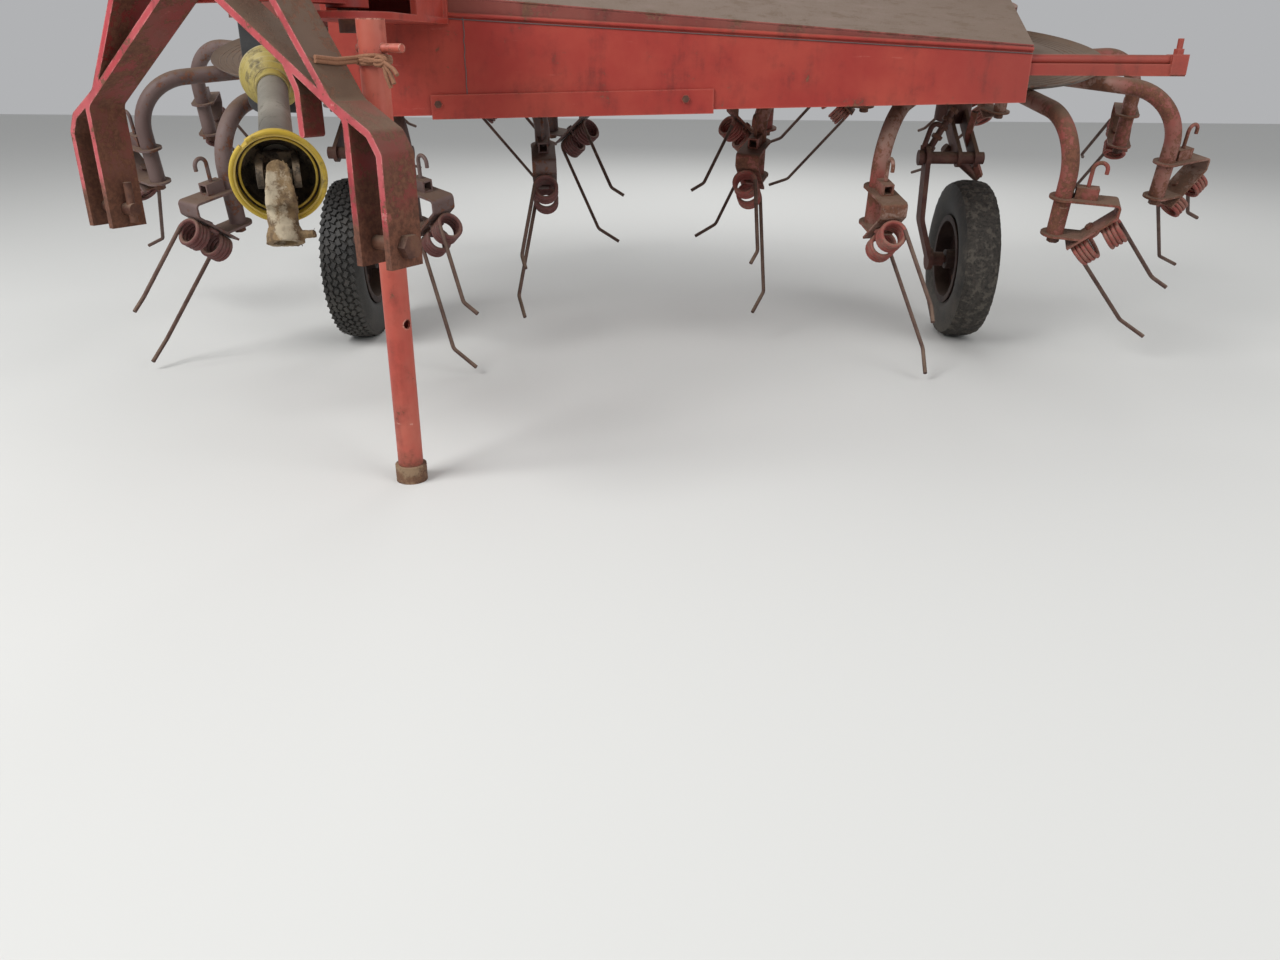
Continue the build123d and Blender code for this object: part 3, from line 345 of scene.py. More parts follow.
@dataclass(frozen=True)
class Rust:
    """Bare steel gone brown, with traces of the old paint and dry dust."""

    name: str
    slot: str
    dark: Colour
    light: Colour
    paint: Colour
    paint_share: float = 0.2
    dust: float = 0.5
    scale: float = 60.0
    metal: float = 0.25
    dust_colour: Colour = (0.26, 0.19, 0.13)

    def build(self) -> bpy.types.Material:
        """Return the material."""
        tree = ShaderTree(self.name)
        blotches = tree.noise(self.scale * 0.4, 6.0, 0.65)
        pits = tree.noise(self.scale * 3.0, 5.0, 0.7)
        colour = tree.mix(blotches.step(0.36, 0.66), self.dark, self.light)
        share = self.paint_share
        left = (blotches * 0.5 + pits * 0.5).step(0.60 - share * 0.25, 0.64 - share * 0.2)
        colour = tree.mix((1.0 - left) * share, colour, self.paint)
        settled = (tree.facing_up() + (pits - 0.5) * 1.2).step(0.2, 1.0) * self.dust
        colour = tree.mix(settled, colour, self.dust_colour)
        rough = pits * 0.25 + settled * 0.2 + 0.5
        return tree.finish(colour, rough.lowest(0.95), pits + blotches * 0.6, 0.0006, self.metal)


@dataclass(frozen=True)
class Rubber:
    """Tyre rubber with pale dust in the tread and on the wall."""

    name: str
    slot: str
    colour: Colour = (0.018, 0.017, 0.016)
    dust_colour: Colour = (0.16, 0.145, 0.125)
    dust: float = 0.5

    def build(self) -> bpy.types.Material:
        """Return the material."""
        tree = ShaderTree(self.name)
        blotches = tree.noise(14.0, 6.0, 0.65)
        grain = tree.noise(260.0, 4.0, 0.65)
        low = 1.0 - tree.along("Z").step(0.0, 0.28)
        dusty = ((blotches * 0.6 + grain * 0.4 + low * 0.12).step(0.42, 0.72) * self.dust).lowest(1.0)
        colour = tree.mix(dusty, self.colour, self.dust_colour)
        return tree.finish(colour, dusty * 0.2 + 0.62, grain + blotches * 0.4, 0.0005)


@dataclass(frozen=True)
class OldPlastic:
    """Moulded guard plastic, scuffed and smeared with grease."""

    name: str
    slot: str
    colour: Colour
    faded: Colour
    grease: Colour = (0.055, 0.042, 0.026)
    dirt: float = 0.5

    def build(self) -> bpy.types.Material:
        """Return the material."""
        tree = ShaderTree(self.name)
        patches = tree.noise(9.0, 5.0, 0.6)
        smears = tree.noise(34.0, 6.0, 0.7)
        grain = tree.noise(300.0, 3.0, 0.6)
        colour = tree.mix(patches.step(0.35, 0.7), self.colour, self.faded)
        smudge = smears * 0.7 + patches * 0.3
        dirty = smudge.step(0.62 - self.dirt * 0.2, 0.72 - self.dirt * 0.08) * 0.9
        colour = tree.mix(dirty, colour, self.grease)
        scuffs = tree.edges(0.004).step(0.02, 0.2) * 0.35
        colour = tree.mix(scuffs, colour, tuple(0.6 * channel + 0.3 for channel in self.faded))
        return tree.finish(colour, 0.5 + dirty * 0.2 + smears * 0.1, grain + smears, 0.0004)


@dataclass(frozen=True)
class Caked:
    """Steel under a crust of dried grease and dust."""

    name: str
    slot: str
    colour: Colour
    dark: Colour
    pale: Colour
    scale: float = 48.0

    def build(self) -> bpy.types.Material:
        """Return the material."""
        tree = ShaderTree(self.name)
        lumps = tree.noise(self.scale, 6.0, 0.7)
        grain = tree.noise(300.0, 5.0, 0.7)
        colour = tree.mix((lumps * 0.7 + grain * 0.3).step(0.36, 0.6), self.dark, self.colour)
        patches = tree.noise(self.scale * 0.46, 4.0, 0.6)
        colour = tree.mix((patches * 0.8 + grain * 0.2).step(0.50, 0.60), colour, self.pale)
        return tree.finish(colour, 0.85, lumps + grain * 0.4, 0.0016)


@dataclass(frozen=True)
class Twine:
    """Baler twine gone brown."""

    name: str
    slot: str
    colour: Colour = (0.36, 0.165, 0.09)

    def build(self) -> bpy.types.Material:
        """Return the material."""
        tree = ShaderTree(self.name)
        strands = tree.noise(420.0, 4.0, 0.7)
        colour = tree.mix(strands, scaled(self.colour, 0.4), self.colour)
        return tree.finish(colour, 0.9, strands, 0.0008)


@dataclass(frozen=True)
class PaleFloor:
    """The stage: a plain pale floor."""

    name: str = "stage floor"
    colour: Colour = (0.62, 0.62, 0.60)

    def build(self) -> bpy.types.Material:
        """Return the material."""
        tree = ShaderTree(self.name)
        return tree.finish(self.colour, 0.85, None)


class Finishes:
    """Every finish on the machine, built once."""

    def __init__(self) -> None:
        """Build the materials."""
        self.slots: dict[str, str] = {}
        self.red = self.add(WornPaint(
            "red paint", "red_paint", (0.285, 0.017, 0.010), (0.36, 0.036, 0.019),
            edge=(0.46, 0.11, 0.08), wear=0.6, dust=0.5, rust_share=0.25, gloss=0.52, dusty_from=0.45,
        ))
        self.bars = self.add(WornPaint(
            "bar paint", "red_paint", (0.20, 0.014, 0.012), (0.135, 0.044, 0.026),
            edge=(0.42, 0.10, 0.09), wear=0.7, dust=0.7, rust_share=0.85, gloss=0.6, rust_below=0.482,
        ))
        self.brown_bars = self.add(WornPaint(
            "brown bar faces", "red_paint", (0.085, 0.046, 0.026), (0.135, 0.072, 0.043),
            edge=(0.25, 0.11, 0.08), wear=0.6, dust=0.7, rust_share=0.75, gloss=0.6,
        ))
        # Lighter copy of the bar paint, with worn edges, for the bars' faces square to AHEAD: a painted
        # highlight where the light falls on these faces.
        self.bars_lit_faces = self.add(WornPaint(
            "bar edge paint", "red_paint", (0.40, 0.035, 0.045), (0.47, 0.095, 0.105),
            edge=(0.60, 0.25, 0.23), wear=0.9, dust=0.3, rust_share=0.4, gloss=0.5, rust_below=0.468,
        ))
        self.deck = self.add(WornPaint(
            "deck paint", "deck_paint", (0.17, 0.03, 0.022), (0.22, 0.05, 0.036),
            wear=0.6, dust=0.98, rust_share=0.5,
        ))
        # Left arm paint: a duller mauve-grey, partly the paint's own colour and partly painted shade on the
        # left rotor.
        left_arms_dull_and_shaded = WornPaint(
            "left arm paint", "red_paint", (0.105, 0.062, 0.056), (0.150, 0.100, 0.092),
            edge=(0.24, 0.15, 0.14), wear=0.5, dust=0.7, rust_share=0.6, gloss=0.6,
        )
        right_arms = WornPaint(
            "right arm paint", "red_paint", (0.225, 0.045, 0.033), (0.240, 0.150, 0.115),
            edge=(0.40, 0.24, 0.19), wear=0.7, dust=0.75, rust_share=0.85, gloss=0.6,
        )
        self.arms = {Side.LEFT: self.add(left_arms_dull_and_shaded), Side.RIGHT: self.add(right_arms)}
        # Jack paint: the pale pink edge colour at high wear is partly worn edges and partly painted
        # highlights.
        self.jack = self.add(WornPaint(
            "jack paint", "orange_paint", (0.40, 0.058, 0.036), (0.47, 0.125, 0.082),
            edge=(0.62, 0.36, 0.28), wear=0.9, dust=0.3, rust_share=0.40, gloss=0.5, rust_below=0.040,
        ))
        self.dish = self.add(WornPaint(
            "dish steel", "dish_steel", (0.075, 0.050, 0.038), (0.11, 0.075, 0.055),
            edge=(0.2, 0.14, 0.10), wear=0.6, dust=0.8, rust_share=0.5, gloss=0.6,
        ))
        self.iron = self.add(Rust(
            "gearbox iron", "iron", (0.055, 0.03, 0.022), (0.12, 0.06, 0.04), (0.25, 0.03, 0.025), 0.5
        ))
        self.rust = self.add(Rust(
            "rusty steel", "rusty_steel", (0.05, 0.024, 0.016), (0.15, 0.07, 0.04), (0.2, 0.03, 0.02), 0.1
        ))
        self.leg = self.add(Rust(
            "leg steel", "rusty_steel", (0.035, 0.022, 0.018), (0.11, 0.055, 0.038), (0.16, 0.03, 0.02), 0.3
        ))
        self.tine = self.add(Rust(
            "tine wire", "spring_steel",
            (0.045, 0.027, 0.020), (0.115, 0.075, 0.055), (0.16, 0.05, 0.04), 0.2,
        ))
        left_coils = Rust(
            "left coils", "spring_steel",
            (0.075, 0.032, 0.028), (0.15, 0.075, 0.068), (0.20, 0.05, 0.045), 0.4,
        )
        right_coils = Rust(
            "right coils", "spring_steel", (0.14, 0.045, 0.033), (0.27, 0.12, 0.09), (0.36, 0.06, 0.05), 0.5
        )
        self.coil = {Side.LEFT: self.add(left_coils), Side.RIGHT: self.add(right_coils)}
        self.yoke = self.add(Caked(
            "caked yoke", "yoke_steel", (0.235, 0.155, 0.075), (0.09, 0.055, 0.028), (0.40, 0.335, 0.235)
        ))
        # Dark caked finish of the joints, also used to make the bell darker inside.
        self.grease = self.add(Caked(
            "greasy joint", "iron", (0.10, 0.075, 0.05), (0.018, 0.014, 0.01), (0.20, 0.15, 0.10)
        ))
        self.yellow = self.add(OldPlastic(
            "yellow guard", "yellow_guard", (0.47, 0.315, 0.022), (0.54, 0.40, 0.06), dirt=0.5
        ))
        # Bellows cone: a darker, dirtier copy of the yellow guard, partly dirt and partly painted shade.
        self.cone = self.add(OldPlastic(
            "dusty guard", "yellow_guard", (0.30, 0.225, 0.035), (0.36, 0.29, 0.085), dirt=0.65
        ))
        self.grey = self.add(OldPlastic(
            "grey guard", "grey_guard", (0.165, 0.150, 0.120), (0.235, 0.215, 0.175), dirt=0.45
        ))
        self.black = self.add(OldPlastic(
            "black sheet", "black_sheet", (0.012, 0.012, 0.013), (0.03, 0.03, 0.03), dirt=0.2
        ))
        self.tread = self.add(Rubber("black tyre", "tyre", (0.010, 0.009, 0.008), dust=0.28))
        self.worn_tread = self.add(Rubber(
            "worn tyre", "tyre", (0.016, 0.014, 0.012), (0.115, 0.10, 0.082), 0.8
        ))
        self.crumbled = self.add(Caked(
            "crumbled tyre", "tyre",
            (0.046, 0.039, 0.032), (0.013, 0.011, 0.009), (0.078, 0.067, 0.054), 120.0,
        ))
        self.rim = self.add(Rust(
            "rim steel", "rusty_steel",
            (0.014, 0.009, 0.007), (0.045, 0.026, 0.019), (0.07, 0.02, 0.015), 0.2, 0.2,
        ))
        self.foot = self.add(Caked(
            "muddy foot", "orange_paint", (0.17, 0.085, 0.045), (0.06, 0.03, 0.018), (0.26, 0.17, 0.10)
        ))
        # Dark finish for the seam's crack and for the painted shadow line under the skirt's lip.
        self.crack_and_lip_shadow = self.add(OldPlastic(
            "dark crack", "red_paint", (0.03, 0.012, 0.010), (0.06, 0.02, 0.015)
        ))
        self.twine = self.add(Twine("twine", "rusty_steel"))

    def add(self, finish: object) -> bpy.types.Material:
        """Build one finish and remember which slot it belongs to.

        Args:
            finish: The finish, one of the classes above.

        Returns:
            Its material.
        """
        material = finish.build()
        self.slots[material.name] = finish.slot
        return material


def geometry_tree(
    name: str,
    sizes: dict[str, str],
    build: Callable[[bpy.types.NodeTree, dict], bpy.types.NodeSocket],
) -> bpy.types.NodeTree:
    """Make a Geometry Nodes tree that ends in Realize Instances and Set Material.

    Args:
        name: The tree's name.
        sizes: Its named inputs and their socket types.
        build: Adds the nodes between input and output and returns the geometry.

    Returns:
        The tree.
    """
    tree = bpy.data.node_groups.new(name, "GeometryNodeTree")
    tree.interface.new_socket("Geometry", in_out="INPUT", socket_type="NodeSocketGeometry")
    for size, kind in {**sizes, "Finish": "NodeSocketMaterial"}.items():
        tree.interface.new_socket(size, in_out="INPUT", socket_type=kind)
    tree.interface.new_socket("Geometry", in_out="OUTPUT", socket_type="NodeSocketGeometry")
    start = tree.nodes.new("NodeGroupInput")
    end = tree.nodes.new("NodeGroupOutput")
    shape = build(tree, {socket.name: socket for socket in start.outputs if socket.name})
    real = tree.nodes.new("GeometryNodeRealizeInstances")
    dressed = tree.nodes.new("GeometryNodeSetMaterial")
    tree.links.new(shape, real.inputs["Geometry"])
    tree.links.new(real.outputs["Geometry"], dressed.inputs["Geometry"])
    tree.links.new(start.outputs["Finish"], dressed.inputs["Material"])
    tree.links.new(dressed.outputs["Geometry"], end.inputs["Geometry"])
    return tree


def rod_nodes(tree: bpy.types.NodeTree, given: dict) -> bpy.types.NodeSocket:
    """Add the nodes that sweep a round section along every curve.

    Args:
        tree: The tree to fill.
        given: Its inputs by name.

    Returns:
        The swept mesh.
    """
    circle = tree.nodes.new("GeometryNodeCurvePrimitiveCircle")
    sweep = tree.nodes.new("GeometryNodeCurveToMesh")
    tree.links.new(given["Sides"], circle.inputs["Resolution"])
    tree.links.new(given["Radius"], circle.inputs["Radius"])
    tree.links.new(given["Geometry"], sweep.inputs["Curve"])
    tree.links.new(circle.outputs["Curve"], sweep.inputs["Profile Curve"])
    sweep.inputs["Fill Caps"].default_value = True
    return sweep.outputs["Mesh"]


def place_nodes(tree: bpy.types.NodeTree, given: dict) -> bpy.types.NodeSocket:
    """Add the nodes that put a piece on every point, turned by the point's own attribute.

    Args:
        tree: The tree to fill.
        given: Its inputs by name.

    Returns:
        The placed instances.
    """
    points = tree.nodes.new("GeometryNodeMeshToPoints")
    place = tree.nodes.new("GeometryNodeInstanceOnPoints")
    turn = tree.nodes.new("GeometryNodeInputNamedAttribute")
    rotation = tree.nodes.new("FunctionNodeEulerToRotation")
    info = tree.nodes.new("GeometryNodeObjectInfo")
    turn.data_type = "FLOAT_VECTOR"
    turn.inputs["Name"].default_value = "turn"
    tree.links.new(given["Geometry"], points.inputs["Mesh"])
    tree.links.new(given["Piece"], info.inputs["Object"])
    tree.links.new(points.outputs["Points"], place.inputs["Points"])
    tree.links.new(info.outputs["Geometry"], place.inputs["Instance"])
    tree.links.new(turn.outputs["Attribute"], rotation.inputs["Euler"])
    tree.links.new(rotation.outputs["Rotation"], place.inputs["Rotation"])
    tree.links.new(given["Scale"], place.inputs["Scale"])
    return place.outputs["Instances"]


class Workshop:
    """Makes meshes: swept rods, placed copies, lathed shells and dressed copies of the solids."""

    def __init__(self, finishes: Finishes) -> None:
        """Build the trees.

        Args:
            finishes: The machine's materials.
        """
        self.finishes = finishes
        rod_sizes = {"Radius": "NodeSocketFloat", "Sides": "NodeSocketInt"}
        self.rods = geometry_tree("swept rod", rod_sizes, rod_nodes)
        copy_sizes = {"Piece": "NodeSocketObject", "Scale": "NodeSocketFloat"}
        self.copies = geometry_tree("placed pieces", copy_sizes, place_nodes)

    def keep(self, piece: bpy.types.Object, body: str, *replaced: str) -> bpy.types.Object:
        """Ride a finished piece on its body and hide the nodes that it stands for.

        Args:
            piece: The finished object.
            body: The body that it moves with.
            replaced: Nodes of the solid model that it replaces.

        Returns:
            The piece.
        """
        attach(piece, body)
        if replaced:
            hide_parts(*replaced)
        LOG.info("%s: %d faces on %s", piece.name, len(piece.data.polygons), body)
        return piece

    def convert(
        self,
        source: bpy.types.Object,
        tree: bpy.types.NodeTree,
        inputs: dict,
        name: str,
        angle: float = SMOOTH_ANGLE,
    ) -> bpy.types.Object:
        """Run a tree on an object and return the result as a plain mesh.

        Args:
            source: The curve or points, removed afterwards.
            tree: The Geometry Nodes tree.
            inputs: Values of its named inputs.
            name: The new object's name.
            angle: Edges sharper than this many degrees stay sharp.

        Returns:
            The new object.
        """
        modifier = source.modifiers.new("nodes", "NODES")
        modifier.node_group = tree
        for item in tree.interface.items_tree:
            if item.in_out == "INPUT" and item.name in inputs:
                modifier[item.identifier] = inputs[item.name]
        bpy.context.view_layer.update()
        evaluated = source.evaluated_get(bpy.context.evaluated_depsgraph_get())
        mesh = bpy.data.meshes.new_from_object(evaluated)
        bpy.data.objects.remove(source)
        return self.from_mesh(mesh, name, angle)

    def from_mesh(self, mesh: bpy.types.Mesh, name: str, angle: float = SMOOTH_ANGLE) -> bpy.types.Object:
        """Link a mesh as an object, smooth up to an angle.

        Args:
            mesh: The mesh.
            name: The new object's name.
            angle: Edges sharper than this many degrees stay sharp.

        Returns:
            The new object.
        """
        mesh.name = name
        mesh.shade_smooth()
        mesh.set_sharp_from_angle(angle=math.radians(angle))
        made = bpy.data.objects.new(name, mesh)
        bpy.context.scene.collection.objects.link(made)
        return made

    def rod(
        self,
        paths: Sequence[Sequence[Vector]],
        radius: float,
        name: str,
        finish: bpy.types.Material,
        sides: int = 12,
    ) -> bpy.types.Object:
        """Sweep a round rod along each path.

        Args:
            paths: Lists of points.
            radius: The rod's radius.
            name: The object's name.
            finish: Its material.
            sides: Corners of the round section.

        Returns:
            The new object.
        """
        curve = bpy.data.curves.new(name, "CURVE")
        curve.dimensions = "3D"
        for path in paths:
            spline = curve.splines.new("POLY")
            spline.points.add(len(path) - 1)
            for point, place in zip(spline.points, path):
                point.co = (*place, 1.0)
        source = bpy.data.objects.new(name, curve)
        bpy.context.scene.collection.objects.link(source)
        inputs = {"Radius": radius, "Sides": sides, "Finish": finish}
        return self.convert(source, self.rods, inputs, name, 50.0)

    def place(
        self, piece: bpy.types.Object, places: Iterable[Matrix], name: str, finish: bpy.types.Material
    ) -> bpy.types.Object:
        """Put a copy of a piece at every place.

        Args:
            piece: The piece, removed afterwards.
            places: Where the copies go.
            name: The new object's name.
            finish: Its material.

        Returns:
            The new object, one mesh.
        """
        spots = list(places)
        mesh = bpy.data.meshes.new(name)
        mesh.from_pydata([spot.to_translation() for spot in spots], [], [])
        turns = mesh.attributes.new("turn", "FLOAT_VECTOR", "POINT")
        for value, spot in zip(turns.data, spots):
            value.vector = spot.to_euler()
        source = bpy.data.objects.new(name, mesh)
        bpy.context.scene.collection.objects.link(source)
        inputs = {"Piece": piece, "Scale": 1.0, "Finish": finish}
        made = self.convert(source, self.copies, inputs, name)
        bpy.data.objects.remove(piece)
        return made

    def shell(
        self, build: Callable[[bmesh.types.BMesh], None], name: str, finish: bpy.types.Material
    ) -> bpy.types.Object:
        """Make an object by a function that fills a bmesh.

        Args:
            build: The function.
            name: The object's name.
            finish: Its material.

        Returns:
            The new object, its faces outwards.
        """
        shape = bmesh.new()
        build(shape)
        bmesh.ops.remove_doubles(shape, verts=shape.verts, dist=1e-6)
        bmesh.ops.recalc_face_normals(shape, faces=shape.faces)
        mesh = bpy.data.meshes.new(name)
        shape.to_mesh(mesh)
        shape.free()
        mesh.materials.append(finish)
        return self.from_mesh(mesh, name)

    def lathe(
        self,
        profile: Sequence[tuple[float, float]],
        place: Matrix,
        name: str,
        finish: bpy.types.Material,
        steps: int,
    ) -> bpy.types.Object:
        """Turn a closed profile about the place's Z axis.

        Args:
            profile: Radius and height of its points, in order.
            place: Where it stands.
            name: The object's name.
            finish: Its material.
            steps: Steps round the axis.

        Returns:
            The new object.
        """

        def fill(shape: bmesh.types.BMesh) -> None:
            """Fill the shape with the turned profile."""
            rings = []
            for step in range(steps):
                angle = 2 * math.pi * step / steps
                turn = Vector((math.cos(angle), math.sin(angle), 0))
                ring = [place @ (turn * radius + UP * height) for radius, height in profile]
                rings.append([shape.verts.new(point) for point in ring])
            count = len(profile)
            for step, ring in enumerate(rings):
                following = rings[(step + 1) % steps]
                for index in range(count):
                    after = (index + 1) % count
                    shape.faces.new((ring[index], ring[after], following[after], following[index]))

        return self.shell(fill, name, finish)

    def dress(
        self,
        node: str,
        body: str,
        finish: bpy.types.Material,
        bevel: float = 0.0012,
        patches: dict[bpy.types.Material, FaceTest] | None = None,
        lumps: Triple | None = None,
    ) -> bpy.types.Object:
        """Replace a solid's mesh by a merged copy with softened edges.

        Args:
            node: The node to dress.
            body: The body it moves with.
            finish: Its material.
            bevel: Width of the softened edges.
            patches: Other materials and the faces that take them, or None.
            lumps: Voxel size, depth and scale of a crust, or None.

        Returns:
            The dressed copy.
        """
        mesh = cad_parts[node].data.copy()
        shape = bmesh.new()
        shape.from_mesh(mesh)
        bmesh.ops.remove_doubles(shape, verts=shape.verts, dist=1e-5)
        bmesh.ops.dissolve_limit(shape, angle_limit=math.radians(0.5), verts=shape.verts, edges=shape.edges)
        shape.to_mesh(mesh)
        shape.free()
        mesh.materials.clear()
        mesh.materials.append(finish)
        copy = self.from_mesh(mesh, f"dressed_{node}", 32.0)
        for other, wanted in (patches or {}).items():
            paint(copy, other, wanted)
        if bevel:
            soften = copy.modifiers.new("edges", "BEVEL")
            soften.width = bevel
            soften.segments = 2
            soften.limit_method = "ANGLE"
            soften.angle_limit = math.radians(50)
            soften.use_clamp_overlap = True
            soften.harden_normals = False
        if lumps:
            crust(copy, *lumps)
        return self.keep(copy, body, node)


def paint(piece: bpy.types.Object, finish: bpy.types.Material, wanted: FaceTest) -> None:
    """Give a second material to the faces that pass a test.

    Args:
        piece: The piece, changed in place.
        finish: The second material.
        wanted: Tells by a face's centre and normal whether it takes the material.
    """
    piece.data.materials.append(finish)
    index = len(piece.data.materials) - 1
    for face in piece.data.polygons:
        if wanted(face.center, face.normal):
            face.material_index = index


def crust(piece: bpy.types.Object, voxel: float, depth: float, scale: float) -> None:
    """Remesh a piece evenly and raise lumps of rust or dried dirt on it.

    Args:
        piece: The piece, changed in place.
        voxel: Size of the new mesh's cells.
        depth: Height of the lumps; the piece never grows past its own surface.
        scale: Lumps per metre.
    """
    remesh = piece.modifiers.new("even", "REMESH")
    remesh.mode = "VOXEL"
    remesh.voxel_size = voxel
    bpy.context.view_layer.update()
    mesh = bpy.data.meshes.new_from_object(piece.evaluated_get(bpy.context.evaluated_depsgraph_get()))
    piece.modifiers.clear()
    for vertex in mesh.vertices:
        lump = noise.fractal(vertex.co * scale, 0.75, 2.1, 4)
        vertex.co -= vertex.normal * depth * max(0.0, min(1.0, 0.5 - lump))
    piece.data = mesh
    mesh.shade_smooth()


def turned(place: Vector, axis: Vector, spin: float = 0.0) -> Matrix:
    """Return a matrix at a place with its Z along an axis."""
    rotation = axis.normalized().to_track_quat("Z", "Y").to_matrix().to_4x4()
    return Matrix.Translation(place) @ rotation @ Matrix.Rotation(spin, 4, "Z")


def arc(centre: Vector, start: Vector, end: Vector, steps: int) -> list[Vector]:
    """Return points of the short arc about a centre from start to end, both left out.

    Args:
        centre: The arc's centre.
        start: Where it starts.
        end: Where it ends.
        steps: Pieces of the arc.

    Returns:
        The points between start and end.
    """
    first, last = start - centre, end - centre
    way, goal = first.normalized(), last.normalized()
    return [centre + way.slerp(goal, k / steps) * first.length for k in range(1, steps)]


def circle(
    place: Matrix, radius: float, height: float, first: float = 0.0, turn: float = 2 * math.pi
) -> list[Vector]:
    """Return points of a circle, or of a part of one, about a place's Z axis.

    Args:
        place: The circle's frame.
        radius: Its radius.
        height: Its height in that frame.
        first: Angle of the first point.
        turn: Angle from the first point to the last.

    Returns:
        The points, both ends among them.
    """
    angles = [first + turn * k / CIRCLE_STEPS for k in range(CIRCLE_STEPS + 1)]
    return [place @ Vector((math.cos(a) * radius, math.sin(a) * radius, height)) for a in angles]


def bent(points: Sequence[Vector], radius: float, steps: int = 6) -> list[Vector]:
    """Round the corners of a run of points.

    Args:
        points: The corners, in order.
        radius: The bend's radius.
        steps: Pieces of each bend.

    Returns:
        The run with each inner corner replaced by an arc.
    """
    run = [points[0]]
    for before, corner, after in zip(points, points[1:], points[2:]):
        back, on = (before - corner).normalized(), (after - corner).normalized()
        half = back.angle(on) / 2
        reach = min(radius / math.tan(half), (before - corner).length * 0.49, (after - corner).length * 0.49)
        start, end = corner + back * reach, corner + on * reach
        middle = corner + (back + on).normalized() * (reach / math.cos(half))
        run += [start, *arc(middle, start, end, steps), end]
    return [*run, points[-1]]


def hexagon(shape: bmesh.types.BMesh, radius: float, height: float) -> None:
    """Fill a shape with a chamfered hexagonal nut that stands on its origin.

    Args:
        shape: The shape to fill.
        radius: Radius of its corners.
        height: Its height.
    """
    sides = 6
    rings = []
    for scale, level in ((1.0, 0.0), (1.0, height * 0.82), (0.86, height)):
        reach = radius * scale
        angles = [2 * math.pi * k / sides for k in range(sides)]
        rings.append([shape.verts.new((reach * math.cos(a), reach * math.sin(a), level)) for a in angles])
    for low, high in zip(rings, rings[1:]):
        for k in range(sides):
            after = (k + 1) % sides
            shape.faces.new((low[k], low[after], high[after], high[k]))
    shape.faces.new(rings[-1])
    shape.faces.new(rings[0][::-1])


